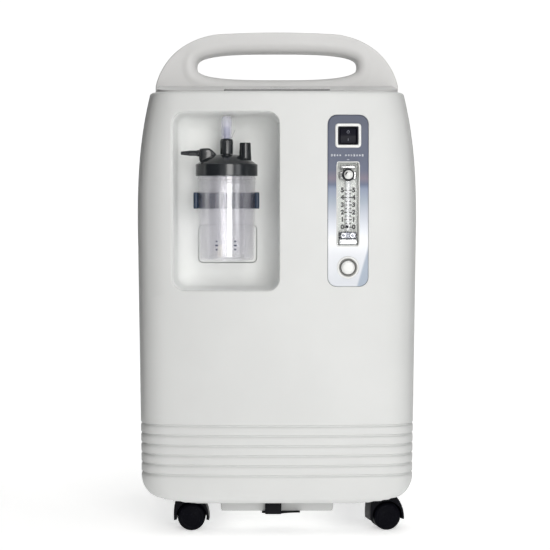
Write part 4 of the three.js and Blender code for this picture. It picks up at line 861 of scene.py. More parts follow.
def build_covers():
    f, s = finishes(), settings("casing")
    x, z, a, b, r = PANEL
    edges_x = [-1.0, 12 / 142, 50 / 142, 133 / 142, 1.0]
    edges_z = [NICHE[1] - 124, NICHE[1] + 124, z - b - 6, z + b + 6]
    p = cover_grid(True, lines(edges_x, 0.024), edges_z, s.groove_depth)
    holes = [
        (block(p, -148, 10, edges_z[0], edges_z[1]), NICHE, s.niche_lip, 7.0),
        (block(p, 53, 121, edges_z[2], edges_z[3]), (x, z, a + 0.35, b + 0.35, r), 0.5, 4.0),
    ]
    shell = pierce(Patches(), p, holes, front_y, 1)
    cover = piece("front_cover_shell", shell.mesh("front_cover_shell", 50), f["cover"], "casing",
                  ["front_cover"], 1.6)
    applied(cover)

    door = span("filter_door")
    inlet, breaker = span("mains_inlet"), span("breaker_body")
    mid = middle("filter_door")
    half = (door[1] - door[0]) / 2
    flange = (inlet[1] - inlet[0]) / 2
    ix, iz = middle("mains_inlet")[[0, 2]]
    bx, bz = middle("breaker_body")[[0, 2]]
    br = (breaker[1][0] - breaker[0][0]) / 2
    slots = [(45.0, 135.0 - 11 * i, 75.0, 2.5, 2.5) for i in range(6)]
    xs = [-150, 150, -half[0] - 8, half[0] + 8, ix - 32, bx - 16, bx + 16, -34, 124]
    zs = [mid[2] - half[2] - 8, mid[2] + half[2] + 8, iz - 24, iz + 24]
    zs += [z + d for _, z, *_ in slots for d in (-4.6, 4.6)]
    q = cover_grid(False, lines([v / 150 for v in xs], 0.024), [v for v in zs if v > 150], s.groove_depth)
    holes = [
        (block(q, -half[0] - 5, half[0] + 5, zs[0], zs[1]),
         (0.0, mid[2], half[0] + 0.9, half[2] + 0.9, 5.0), 0.7, 4.5),
        (block(q, ix - 30, ix + 27.5, zs[2], zs[3]), (ix, iz, flange[0] + 0.3, flange[2] + 0.3, 4.3), 0.5,
         3.0),
        (block(q, bx - 15, bx + 15, bz - 15, bz + 15), (bx, bz, br + 0.3, br + 0.3, br + 0.29), 0.5, 3.0),
    ]
    for sx, sz, sa, sb, sr in slots:
        holes.append((block(q, sx - sa - 3, sx + sa + 3, sz - 4.2, sz + 4.2), (sx, sz, sa, sb, sr), 0.8, 4.0))
    shell = pierce(Patches(), q, holes, rear_y, -1)
    cover = piece("rear_cover_shell", shell.mesh("rear_cover_shell", 50), f["cover"], "casing",
                  ["rear_cover"], 1.6)
    applied(cover)

    # The filter bay behind the door: walls and a floor.
    bay = Patches()
    rim = rim_of_square(28)
    rows = []
    for ins, depth in [(0.0, 4.0), (7.0, 4.2), (7.6, 5.0), (7.6, 24.0), (8.4, 25.0)]:
        at = round_rect(rim, half[0] + 0.9 - ins, half[2] + 0.9 - ins, 4.0) + (0.0, mid[2])
        rows.append(at_depth(at, REAR_Y - depth))
    rows.append(np.repeat(np.array([[0.0, REAR_Y - 25.0, mid[2]]]), len(rim), 0))
    bay.grid(np.array(rows))
    piece("filter_bay", bay.mesh("filter_bay", 40), f["cover"], "casing", wall=1.2)

    # A slanted louvre behind each exhaust slot.
    box = Patches()
    for sx, sz, sa, *_ in slots:
        y0, y1 = REAR_Y - 4.0, REAR_Y - 18.0
        row = np.array([[y0, sz - 2.9], [y1, sz + 2.0], [y1, sz + 3.4], [y0, sz - 1.7], [y0, sz - 2.9]])
        loop = [np.stack([np.full(5, v), row[:, 0], row[:, 1]], 1) for v in (sx - sa, sx + sa)]
        centre = [np.repeat(line.mean(0)[None], 5, 0) for line in loop]
        box.grid(np.array([centre[0], loop[0], loop[1], centre[1]]))
    piece("exhaust_louvres", box.mesh("exhaust_louvres"), f["cover"], "casing")


def build_niche():
    """A tub whose rings follow the mouth's outline, then a quarter ellipse into the back wall, then shrink
    to the hatch."""
    f = finishes()
    cx, cz, a, b, r = NICHE
    rim = rim_of_square(44)
    cove, back = 22.0, NICHE_BACK_Y
    rows = []
    for share in (0.0, 0.2, 0.45, 0.7, 0.9):
        draft = 2.2 * share
        at = round_rect(rim, a - draft, b - draft, r - draft / 2) + (cx, cz)
        start = front_y(at[:, 0], at[:, 1]) + 6.0
        end = back - cove
        rows.append(np.stack([at[:, 0], start + (end - start) * share, at[:, 1]], 1))
    for t in np.linspace(0, np.pi / 2, 11):
        d = 2.2 + (cove - 2.2) * (1 - math.cos(t))
        at = round_rect(rim, a - d, b - d, max(r - d / 2, 7.0)) + (cx, cz)
        rows.append(at_depth(at, back - cove * (1 - math.sin(t))))
    inner = rows[-1][:, [0, 2]]
    hx, hz, ha, hb, hr = HATCH
    hatch = round_rect(rim, ha + 1.4, hb + 1.4, hr + 1.4) + (hx, hz)
    for t in (0.3, 0.6, 0.85):
        at = inner * (1 - t) + hatch * t
        rows.append(at_depth(at, back))
    for ins, depth in zip(*corner_rings(0.7, 4)):
        at = round_rect(rim, ha + 0.7 + ins, hb + 0.7 + ins, hr + 0.7 + ins) + (hx, hz)
        rows.append(at_depth(at, back + depth))
    at = round_rect(rim, ha + 0.7, hb + 0.7, hr + 0.7) + (hx, hz)
    rows.append(at_depth(at, back + 3.2))
    tub = piece("niche_tub", Patches().grid(np.array(rows)).mesh("niche_tub", 60, False), f["niche"],
                "casing", ["humidifier_niche"])
    face_inward(tub.data, (cx, back - 40, cz))
    skin = tub.modifiers.new("wall", "SOLIDIFY")
    skin.thickness, skin.offset = 1.6 * MM, -1
    applied(tub)
    plate = pad(hx, hz, ha, hb, hr, back + 0.2, back + 3.4, 0.8, fill=2)
    piece("niche_hatch_plate", plate.mesh("niche_hatch_plate"), f["niche"], "casing", ["niche_hatch"])


def face_inward(data, centre):
    """Turns every face of a hollow so that it looks at the hollow's middle."""
    shape = bmesh.new()
    shape.from_mesh(data)
    bmesh.ops.recalc_face_normals(shape, faces=shape.faces)
    middle_point = Vector(centre) * MM
    facing = sum(
        face.normal.dot(middle_point - face.calc_center_median()) * face.calc_area() for face in shape.faces
    )
    if facing < 0:
        bmesh.ops.reverse_faces(shape, faces=shape.faces)
    shape.to_mesh(data)
    shape.free()


def curve_points(p0, p1, p2, p3, n=40):
    """Points of a cubic Bezier curve."""
    t = np.linspace(0, 1, n)[:, None]
    p0, p1, p2, p3 = (np.array(v, float) for v in (p0, p1, p2, p3))
    return (1 - t) ** 3 * p0 + 3 * t * (1 - t) ** 2 * p1 + 3 * t**2 * (1 - t) * p2 + t**3 * p3


def arch_outline():
    """Right foot, up the shoulder, across the crowned top and down to the left foot, then along the foot."""
    w, height, foot = 164.0, TOP_Z - RIDGE_Z, RIM_Z + 0.4
    shoulder = curve_points(
        (w, RIDGE_Z), (w * 0.94, RIDGE_Z + height * 0.575), (w * 0.707, TOP_Z - 2.9), (w * 0.42, TOP_Z - 2.3)
    )
    t = np.linspace(0, 1, 30)[:, None]
    a, c, b = np.array([w * 0.42, TOP_Z - 2.3]), np.array([0, TOP_Z + 1.3]), np.array([-w * 0.42,
                                                                                       TOP_Z - 2.3])
    top = (1 - t) ** 2 * a + 2 * t * (1 - t) * c + t**2 * b
    foot_x = np.linspace(-w, w, 120)
    low = np.stack([foot_x, np.full(120, foot)], 1)
    right = np.array([[w, foot + 2.0], [w, foot + 8.0]])
    left = right[::-1] * [-1, 1]
    return np.concatenate([right, shoulder, top[1:-1], shoulder[::-1] * [-1, 1], left, low])


def grip_outline(n):
    """The hand opening: |x / a|^3 + |z / b|^3 = 1, with points evenly spaced along it."""
    a, b = 109.0, 18.6
    t = np.linspace(0, 2 * np.pi, 4000)
    c, s = np.cos(t), np.sin(t)
    p = np.stack([a * np.sign(c) * np.abs(c) ** (2 / 3), b * np.sign(s) * np.abs(s) ** (2 / 3)], 1)
    run = np.concatenate([[0], np.cumsum(np.linalg.norm(np.diff(p, axis=0), axis=1))])
    at = np.linspace(0, run[-1], n + 1)
    loop = np.stack([np.interp(at, run, p[:, 0]), np.interp(at, run, p[:, 1])], 1)
    loop[-1] = loop[0]
    return loop


def outward(loop):
    """Unit normals of a closed anticlockwise loop, pointing out."""
    ahead = np.roll(loop[:-1], -1, 0) - np.roll(loop[:-1], 1, 0)
    n = np.stack([ahead[:, 1], -ahead[:, 0]], 1)
    n /= np.linalg.norm(n, axis=1)[:, None]
    return np.concatenate([n, n[:1]])


ARCH_DEPTH, ROOF_INSET, ROOF_EDGE = 30.0, 7.5, 0.6
DECK_SLOPE = (RIDGE_Z - EAVE_Z) / (HALF_DEPTH - ARCH_DEPTH)


def roof_deck(sign):
    """One half's deck: columns round the eaves, each rising evenly in 24 rows from the eaves to the ridge."""
    w = half_width(RIM_Z - RIM_FILLET) - ROOF_INSET - ROOF_EDGE
    reach = HALF_DEPTH - ROOF_INSET - ROOF_EDGE
    corner, bow = (FRONT_CORNER, BULGE) if sign < 0 else (REAR_CORNER, 0.0)
    flat = w - corner
    turn = reach - bow - 2 * bow * corner / flat
    bend = np.linspace(0, 1, 14)
    bend_x = w - (w - flat) * bend**2
    bend_d = (1 - bend) ** 2 * (turn - corner) + 2 * bend * (1 - bend) * turn + bend**2 * (reach - bow)
    face_x = np.linspace(flat, -flat, 60)[1:-1]
    xs = np.concatenate([bend_x, face_x, -bend_x[::-1]])
    ds = np.concatenate([bend_d, reach - bow * (face_x / flat) ** 2, bend_d[::-1]])
    share = np.linspace(0, 1, 24)[:, None]
    d = ARCH_DEPTH - 1 + (ds[None] - ARCH_DEPTH + 1) * share
    height = RIDGE_Z - DECK_SLOPE * np.clip(d - ARCH_DEPTH, 0, None)
    return np.stack([np.repeat(xs[None], 24, 0), SEAM_Y + sign * d, height], 2)


def build_roof():
    """Each half is the arch's ring, from the parting line over the outer edge, across the face and round
    the roll into the hand opening, and a deck whose height rises evenly from the eaves to the ridge."""
    f, s = finishes(), settings("casing")
    thick, centre_z = ARCH_DEPTH, TOP_Z - 27.2 - 18.25
    inner = grip_outline(420)
    angle = np.unwrap(np.arctan2(inner[:, 1], inner[:, 0]))
    raw = arch_outline() - [0, centre_z]
    raw_angle = np.unwrap(np.arctan2(raw[:, 1], raw[:, 0]))
    start = raw_angle[0]
    wrapped = (angle - start) % (2 * np.pi) + start
    raw = np.concatenate([raw, raw[:1]])
    raw_angle = np.append(raw_angle, raw_angle[0] + 2 * np.pi)
    outer = np.stack([np.interp(wrapped, raw_angle, raw[:, 0]), np.interp(wrapped, raw_angle, raw[:, 1])], 1)
    outer[-1] = outer[0]
    out_n, in_n = outward(outer), outward(inner)
    smooth = out_n[:-1]
    for _ in range(6):
        smooth = (np.roll(smooth, 1, 0) + smooth + np.roll(smooth, -1, 0)) / 3
    out_n = np.concatenate([smooth, smooth[:1]])
    out_n /= np.linalg.norm(out_n, axis=1)[:, None]
    roll = s.grip_roll
    for name, sign in (("front", -1), ("rear", 1)):
        rows = []

        def ring(loop, depth):
            rows.append(np.stack([loop[:, 0], np.full(len(loop), SEAM_Y + sign * depth),
                                  loop[:, 1] + centre_z], 1))

        ring(outer - out_n * 2.5, SEAM_GAP)
        for t in np.linspace(0, np.pi / 2, 5):
            ring(outer - out_n * 0.7 * (1 - math.sin(t)), SEAM_GAP + 0.7 * (1 - math.cos(t)))
        ring(outer, thick * 0.5)
        sunk = thick - 1.2
        for t in np.linspace(0, np.pi / 2, 7):
            ring(outer - out_n * 2.0 * (1 - math.cos(t)), sunk - 2.0 * (1 - math.sin(t)))
        edge_out, edge_in = outer - out_n * 2.0, inner + in_n * (roll + 9)
        for t in (0.25, 0.5, 0.75, 1):
            ring(edge_out * (1 - t) + edge_in * t, sunk)
        for t in (0.2, 0.4, 0.6, 0.8):
            ring(inner + in_n * (roll + 9 - 9 * t), sunk + 1.2 * (0.5 - 0.5 * math.cos(math.pi * t)))
        for t in np.linspace(0, np.pi / 2, 13):
            ring(inner + in_n * roll * (1 - math.sin(t)), thick - 13.0 * (1 - math.cos(t)))
        ring(inner, 1.2)
        for t in np.linspace(0, np.pi / 2, 5)[1:]:
            ring(inner + in_n * 0.7 * (1 - math.cos(t)), SEAM_GAP + 0.7 * (1 - math.sin(t)))
        ring(inner + in_n * 2.5, SEAM_GAP)
        shell = Patches().grid(np.array(rows))

        deck = roof_deck(sign)
        shell.grid(deck)
        loop = np.concatenate([deck[:, 0], deck[-1, 1:-1], deck[::-1, -1]])
        ahead = np.gradient(loop[:, :2], axis=0)
        normal = np.stack([ahead[:, 1], -ahead[:, 0]], 1) * -sign
        normal /= np.linalg.norm(normal, axis=1)[:, None]
        skirt = []
        inward, below = corner_rings(ROOF_EDGE, 4)
        for out, down in zip(ROOF_EDGE - inward, below):
            skirt.append(np.concatenate([loop[:, :2] + normal * out, loop[:, 2:] - down], 1))
        skirt.append(np.stack([skirt[-1][:, 0], skirt[-1][:, 1], np.full(len(loop), RIM_Z - 7)], 1))
        shell.grid(np.array(skirt))
        data = shell.mesh("handle_%s_shell" % name, 40)
        piece("handle_%s_shell" % name, data, f["handle"], "casing", ["handle_" + name])


def build_display():
    """The display window lies on the front deck: straight along the front, bowed at the back."""
    low = span("display_lens")[0]
    us, vs = np.linspace(-1, 1, 61), np.linspace(0, 1, 9)
    bow = 18 * np.clip(1 - (us / 0.26) ** 2, 0, 1) ** 0.8
    front_edge, depth_y = low[1] + 0.3, 30.0
    x = 67.0 * us
    y = front_edge + (depth_y + bow)[None] * vs[:, None]
    top = EAVE_Z + DECK_SLOPE * (y - FRONT_Y) + 0.8 + 1.0 * vs[:, None] * np.exp(-((x / 12) ** 2))[None]
    grid = np.stack([np.repeat(x[None], 9, 0), y, top], 2)
    loop = edge_of(grid)
    ahead = np.gradient(loop[:, :2], axis=0)
    normal = np.stack([ahead[:, 1], -ahead[:, 0]], 1)
    normal /= np.linalg.norm(normal, axis=1)[:, None] + 1e-9
    rows = [loop]
    for out, down in [(0.15, 0.05), (0.35, 0.35), (0.35, 2.0)]:
        rows.append(np.concatenate([loop[:, :2] + normal * out, loop[:, 2:] - down], 1))
    rows.append(np.repeat(rows[-1].mean(0)[None], len(loop), 0))
    lens = Patches().grid(grid).grid(np.array(rows))
    piece("display_window", lens.mesh("display_window"), finishes()["lens"], "casing", ["display_lens"])


# ------------------------------------------------------------------ humidifier
def build_bottle():
    f, s = finishes(), settings("bottle")
    at = (BOTTLE_X, BOTTLE_Y, 0.0)
    z = LID_Z
    top = span("outlet_fitting")[0][2] + 8
    lid = soften(
        [
            (4.2, top - 2), (4.2, top), (11, top - 0.3), (20, top - 2.0), (29, top - 6.0), (35.5, top - 10.3),
            (38.4, top - 12.5), (40, top - 12.8), (40, z), (38.6, z), (36.6, z), (36.6, z + 10),
            (30, z + 14), (4.2, top - 5), (4.2, top - 2),
        ],
        [0, 0.4, 3, 5, 5, 2, 0.8, 1.3, 1.1, 0.4, 0.4, 0, 0, 0, 0],
    )
    piece("bottle_lid", lathe(lid, at, 128).mesh("bottle_lid"), f["lid"], "bottle", ["humidifier_lid"])

    # Jar: threaded neck inside the lid, two bead rings, a slightly tapered wall and a rounded foot.
    wall, foot = s.jar_wall, JAR_Z - 2
    outside = soften(
        [
            (0, foot + 1.6), (24, foot + 1.2), (30, foot), (34.6, foot), (36, foot + 4.5), (37.0, z - 9.4),
            (37.7, z - 8.6), (37.7, z - 7.2), (37.0, z - 6.4), (37.0, z - 5.0), (37.9, z - 4.4),
            (37.9, z - 2.6),
            (37.2, z - 1.6), (37.2, z - 0.4), (35.6, z - 0.4), (35.6, z + 10.5), (35.6 - wall, z + 10.5),
        ],
        [0, 1, 1.5, 2.4, 2, 0.3, 0.4, 0.4, 0.3, 0.3, 0.5, 0.5, 0.4, 0.3, 0.3, 0.4, 0],
    )
    inside = soften(
        [(35.6 - wall, z + 10.5), (35.6 - wall, z - 6), (36 - wall, foot + 6), (31, foot + 2.6),
         (0, foot + 3.2)],
        [0, 1, 3, 2, 0],
    )
    jar = lathe(np.concatenate([outside, inside[1:]]), at, 128)
    piece("bottle_jar", jar.mesh("bottle_jar", 60), f["jar"], "jar", ["humidifier_jar"])

    # Level marks: two short columns of dashes low on the front of the jar.
    marks = Patches()
    for side in (-1, 1):
        for i in range(3):
            a = math.radians(-90 + side * 19.0)
            mz, r = foot + 15 + 5.2 * i, 36.35 + (5.2 * i + 12) * 0.01
            wide = 0.055 if i % 2 else 0.035
            t = np.linspace(a - wide, a + wide, 5)
            h = np.array([-1.0, 1.0])[:, None]
            marks.grid(np.stack([r * np.cos(t)[None] + 0 * h, r * np.sin(t)[None] + 0 * h,
                                 mz + h + 0 * t[None]], 2))
    shifted = Patches()
    shifted.points = [moved(p, *at) for p in marks.points]
    shifted.cells, shifted.count = marks.cells, marks.count
    piece("level_marks", shifted.mesh("level_marks"), f["marks"], "jar", wall=0.08)

    # Outlet nut: vertical ribs as a cosine on the radius, then the tapered barb.
    nut_low, nut_high = top + 0.3, top + 19.7
    profile = soften(
        [(4, top - 6), (4, nut_low), (8.3, nut_low), (8.5, nut_high - 3), (7.6, nut_high), (3.9, nut_high),
         (3.9, nut_high + 5), (3.3, nut_high + 6), (3.7, nut_high + 9), (2.9, nut_high + 15),
         (1.5, nut_high + 15.4), (1.5, nut_high + 8)],
        [0, 0.3, 0.6, 1, 0.9, 0.4, 0.3, 0.4, 0.5, 0.5, 0.2, 0],
    )
    p = revolve(profile, 144)
    ribbed = (p[..., 2] > nut_low + 1) & (p[..., 2] < nut_high - 3) & (np.hypot(p[..., 0], p[..., 1]) > 7)
    a = np.arctan2(p[..., 1], p[..., 0])
    scale = np.where(ribbed, 1 - 0.035 * (0.5 + 0.5 * np.cos(18 * a)) ** 3, 1)
    p = p * np.stack([scale, scale, np.ones_like(scale)], 2)
    nut = Patches().grid(moved(p, *at))
    piece("outlet_nut", nut.mesh("outlet_nut", 30), f["lid"], "bottle", ["outlet_fitting"])
    sleeve = soften([(4.0, nut_high + 0.2), (4.1, nut_high + 8.5), (3.9, nut_high + 13),
                     (3.1, nut_high + 15.6), (1.6, nut_high + 15.8)], [0, 1, 1, 0.6, 0])
    piece("outlet_barb_sleeve", lathe(sleeve, at, 64).mesh("outlet_barb_sleeve"), f["barb"], "bottle",
          wall=0.3)

    # Dust cap: a soft thimble with a bead at its mouth and a small pull tab at its right.
    cap_low, cap_high = span("outlet_dust_cap")[0][2] + 0.2, span("outlet_dust_cap")[1][2]
    cap = soften(
        [
            (0, cap_high), (4.2, cap_high), (6.7, cap_high - 3), (7.15, cap_high - 8), (6.9, cap_low + 4),
            (7.4, cap_low + 2.4), (7.4, cap_low), (5.4, cap_low), (5.4, cap_high - 8), (0, cap_high - 3.4),
        ],
        [0, 2.6, 2.4, 3, 1, 0.6, 0.5, 0.4, 3.2, 0],
    )
    piece("dust_cap", lathe(cap, at, 72).mesh("dust_cap", 50), f["cap"], "bottle", ["outlet_dust_cap"])
    t = np.linspace(0, 1, 16)
    path = np.stack([6.4 + 4.6 * t, 0 * t, cap_low + 2.4 + 9.5 * t**1.6], 1)
    ring = np.linspace(0, 2 * np.pi, 21)
    half_y, half_t = 2.8 * np.sin(np.pi * np.clip(t, 0.0, 0.97)) ** 0.35 + 0.05, 0.55
    tab = np.stack(
        [
            path[:, :1] + half_t * np.cos(ring)[None],
            path[:, 1:2] + half_y[:, None] * np.sin(ring)[None],
            path[:, 2:] + 0 * ring[None],
        ],
        2,
    )
    tab[0], tab[-1] = tab[0].mean(0), tab[-1].mean(0)
    # The tab is a real part. Its opaque white trim finish, in place of the cap's frosted plastic, is a
    # painted highlight.
    piece("dust_cap_tab_painted_highlight", Patches().grid(moved(tab, *at)).mesh("dust_cap_tab_painted_highlight"), f["trim"], "bottle")

    # Relief valve: a slightly conical cup with a recessed top.
    vx, vy = middle("relief_valve")[:2]
    vtop = span("relief_valve")[1][2]
    valve = soften(
        [(0, vtop - 2.4), (5.0, vtop - 2.4), (5.2, vtop), (6.9, vtop), (7.2, vtop - 1.2), (7.7, vtop - 13),
         (8.2, vtop - 26), (4, vtop - 27.5)],
        [0, 0.5, 0.4, 0.6, 0.5, 1, 0.5, 0],
    )
    piece("relief_valve_cup", lathe(valve, (vx, vy, 0), 72).mesh("relief_valve_cup"), f["lid"], "bottle",
          ["relief_valve"], 0.0)

    # Inlet elbow: a hooded block that grows out of the dome, and a tapered barb to the left.
    barb_z = z + 29.5
    ex = BOTTLE_X - 26
    rings = []
    ring = rim_of_square(10)
    for x, top_z, low_z, half_y, r in [
        (-9.4, barb_z + 3.0, barb_z - 6.0, 4.0, 2.4), (-9.2, barb_z + 4.4, barb_z - 9.0, 6.2, 2.6),
        (-8.0, barb_z + 5.6, barb_z - 11.5, 7.4, 2.6), (-4.0, barb_z + 6.2, barb_z - 11.5, 7.8, 2.8),
        (1.0, barb_z + 6.4, barb_z - 10.5, 7.8, 2.8), (4.5, barb_z + 6.0, barb_z - 8.0, 7.4, 2.8),
        (8.0, barb_z + 3.6, barb_z - 5.5, 6.6, 2.4), (11.5, barb_z + 0.2, barb_z - 4.0, 5.0, 1.8),
        (13.5, barb_z - 2.6, barb_z - 4.4, 3.0, 0.8),
    ]:
        q = round_rect(ring, half_y, (top_z - low_z) / 2, min(r, (top_z - low_z) / 2 - 0.05))
        level = (top_z + low_z) / 2 + q[:, 1]
        rings.append(np.stack([np.full(len(q), ex + x), BOTTLE_Y + q[:, 0], level], 1))
    rings = [np.repeat(rings[0].mean(0)[None], len(ring), 0), *rings]
    rings.append(np.repeat(rings[-1].mean(0)[None], len(ring), 0))
    elbow = Patches().grid(np.array(rings))
    barb = soften([(0, 9), (4.3, 9), (4.3, 11), (3.6, 13), (3.5, 22), (3.0, 24.5), (2.2, 33), (1.2, 33.2),
                   (1.2, 26)],
                  [0, 0.4, 0.6, 0.8, 1, 1, 0.6, 0.3, 0])
    tube = revolve(barb, 48)
    tube = np.stack([-tube[..., 2], tube[..., 0], tube[..., 1]], -1)
    elbow.grid(moved(tube, ex, BOTTLE_Y, barb_z))
    piece("inlet_elbow_shell", elbow.mesh("inlet_elbow_shell", 40), f["lid"], "bottle", ["inlet_elbow"])

    # Dip tube, with the porous diffuser on its end.
    dx, dy = middle("dip_tube")[:2]
    tube = [(0.9, foot + 18), (1.7, foot + 18), (1.7, z + 18), (0.9, z + 18), (0.9, foot + 18)]
    piece("dip_tube_shell", lathe(tube, (dx, dy, 0), 32).mesh("dip_tube_shell"), f["tube"], "bottle",
          ["dip_tube"])
    stone = soften([(0, foot + 4.2), (2.8, foot + 4.2), (3.3, foot + 6), (3.3, foot + 18), (2.4, foot + 20.5),
                    (2.0, foot + 20.5)], [0, 0.8, 1, 1, 0.5, 0])
    piece("diffuser_stone", lathe(stone, (dx, dy, 0), 40).mesh("diffuser_stone"), f["cream"], "bottle",
          ["diffuser"])


def build_clip():
    """A C-shaped band behind the jar: a rounded strip carried along an arc, its ends rolled into loops."""
    f = finishes()
    low, high = span("bottle_clip")
    mid_z, half_h = (low[2] + high[2]) / 2, (high[2] - low[2]) / 2
    inner = 38.0
    a = np.radians(np.linspace(-17, 197, 120))
    radius = np.full(a.shape, inner + 1.45)
    path = np.stack([radius * np.cos(a), radius * np.sin(a)], 1)
    t = np.radians(12.0 * np.arange(1, 26))[:, None]
    across, along = np.array([np.cos(a[0]), np.sin(a[0])]), np.array([-np.sin(a[0]), np.cos(a[0])])
    curl = path[0] + 1.7 * (1 - np.cos(t)) * across - 1.7 * np.sin(t) * along
    path = np.concatenate([curl[::-1], path, curl * [-1, 1]])
    ahead = np.gradient(path, axis=0)
    n = np.stack([ahead[:, 1], -ahead[:, 0]], 1)
    n /= np.linalg.norm(n, axis=1)[:, None]
    ring = round_rect(rim_of_square(8), 1.35, half_h, 0.9)
    band = np.stack(
        [
            path[:, :1] + n[:, :1] * ring[None, :, 0],
            path[:, 1:] + n[:, 1:] * ring[None, :, 0],
            mid_z + 0 * path[:, :1] + ring[None, :, 1],
        ],
        2,
    )
    ends = [np.repeat(line.mean(0)[None], len(ring), 0)[None] for line in (band[0], band[-1])]
    band = np.concatenate([ends[0], band, ends[1]])
    clip = Patches().grid(moved(band, BOTTLE_X, BOTTLE_Y, 0))
    slab(BOTTLE_X, BOTTLE_Y + inner + 5.8, 14, 4.0, 2.0, mid_z - half_h + 3, mid_z + half_h - 3, 1.2,
         patches=clip)
    piece("bottle_clip_band", clip.mesh("bottle_clip_band", 40), f["clip"], "casing", ["bottle_clip"])


# ------------------------------------------------------------------ control panel
def build_panel():
    f = finishes()
    x, z, a, b, r = PANEL
    sx, sz = middle("switch_bezel")[[0, 2]]
    mx, mz = middle("flowmeter_bezel")[[0, 2]]
    ox, oz = middle("outlet_bezel")[[0, 2]]
    bezel_low, bezel_high = span("switch_bezel")
    meter_low, meter_high = span("flowmeter_bezel")
    switch_half = (bezel_high - bezel_low)[[0, 2]] / 2
    meter_half = (meter_high - meter_low)[[0, 2]] / 2
    ring = (span("outlet_bezel")[1][0] - span("outlet_bezel")[0][0]) / 2

    # Film: an inner grid with its holes, and a frame of rings out to the rounded outline.
    ia, ib = a - 5, b - 5
    xs = lines([x - ia, x + ia, x - 18.6, x + 18.6], 2.4)
    zs = lines([z - ib, z + ib, sz - 19, sz + 19, mz - 56.8, mz + 56.8, oz - 18, oz + 18], 2.8)
    gx, gz = np.meshgrid(xs, zs)

    def film_y(px, pz):
        return front_y(px, pz) - 0.12

    p = np.stack([gx, film_y(gx, gz), gz], 2)
    i0, i1 = np.argmin(abs(xs - x + 18.6)), np.argmin(abs(xs - x - 18.6))

    def rows(z0, z1):
        return np.argmin(abs(zs - z0)), np.argmin(abs(zs - z1)), i0, i1

    holes = [
        (rows(sz - 19, sz + 19), (sx, sz, switch_half[0] - 1, switch_half[1] - 1, 3.0), 0.2, 1.0),
        (rows(mz - 56.8, mz + 56.8), (mx, mz, meter_half[0] - 1, meter_half[1] - 1, 2.0), 0.2, 1.0),
        (rows(oz - 18, oz + 18), (ox, oz, ring - 1, ring - 1, ring - 1.01), 0.2, 1.0),
    ]
    film = pierce(Patches(), p, holes, film_y, 1)
    edge = p[tuple(edge_cells(len(zs), len(xs)))]
    q = np.stack([(edge[:, 0] - x) / ia, (edge[:, 2] - z) / ib], 1)
    out = [edge]
    for t in (0.5, 1.0):
        target = round_rect(q, a - 0.3, b - 0.3, r - 0.3) + (x, z)
        at = edge[:, [0, 2]] * (1 - t) + target * t
        out.append(at_depth(at, film_y(at[:, 0], at[:, 1])))
    at = round_rect(q, a, b, r) + (x, z)
    out.append(at_depth(at, film_y(at[:, 0], at[:, 1]) + 0.3))
    out.append(at_depth(at, film_y(at[:, 0], at[:, 1]) + 1.2))
    film.grid(np.array(out))
    piece("panel_film", film.mesh("panel_film", 50), f["panel"], "casing", ["panel_plate"])

    build_switch(sx, sz, switch_half)
    build_meter(mx, mz, meter_half)
    build_outlet(ox, oz, ring)

    # A row of plain printed bars in two groups, some of them taller, with a small dash under it.
    ink = Patches()
    pitch, group_gap, bars_z, dash_z = 3.55, 3.6, 485.6, 480.2
    tall = (0, 1, 7, 10)
    marks = [
        (-21 + pitch * i + (group_gap if i > 3 else 0) + 0.3, 1.1, 1.5 if i in tall else 1.05, bars_z)
        for i in range(11)
    ] + [(0.0, 1.5, 0.4, dash_z)]
    for mark_x, half, h, mark_z in marks:
        bx, bz = np.meshgrid(np.linspace(x + mark_x - half, x + mark_x + half, 4), [mark_z - h, mark_z + h])
        ink.grid(np.stack([bx, film_y(bx, bz) - 0.06, bz], 2))
    piece("panel_marks", ink.mesh("panel_marks"), f["sign"], "casing", wall=0.04)


def frame_of(cx, cz, outer, inner, face, back, round_out, edge, n=20):
    """A bezel: rings from the outer back edge, over a quarter round, across the face and round into the
    window."""
    rim = rim_of_square(n)
    rows = []

    def ring(half, r, y):
        at = round_rect(rim, half[0], half[1], max(r, 0.3)) + (cx, cz)
        rows.append(at_depth(at, y))

    ring(outer, round_out, back)
    for s, d in zip(*[v[::-1] for v in corner_rings(edge, 4)]):
        ring((outer[0] - s, outer[1] - s), round_out - s, face + d)
    for s, d in zip(*corner_rings(edge, 4)):
        ring((inner[0] + s, inner[1] + s), 1.2 + s, face + d)
    ring(inner, 1.2, back)
    return Patches().grid(np.array(rows))


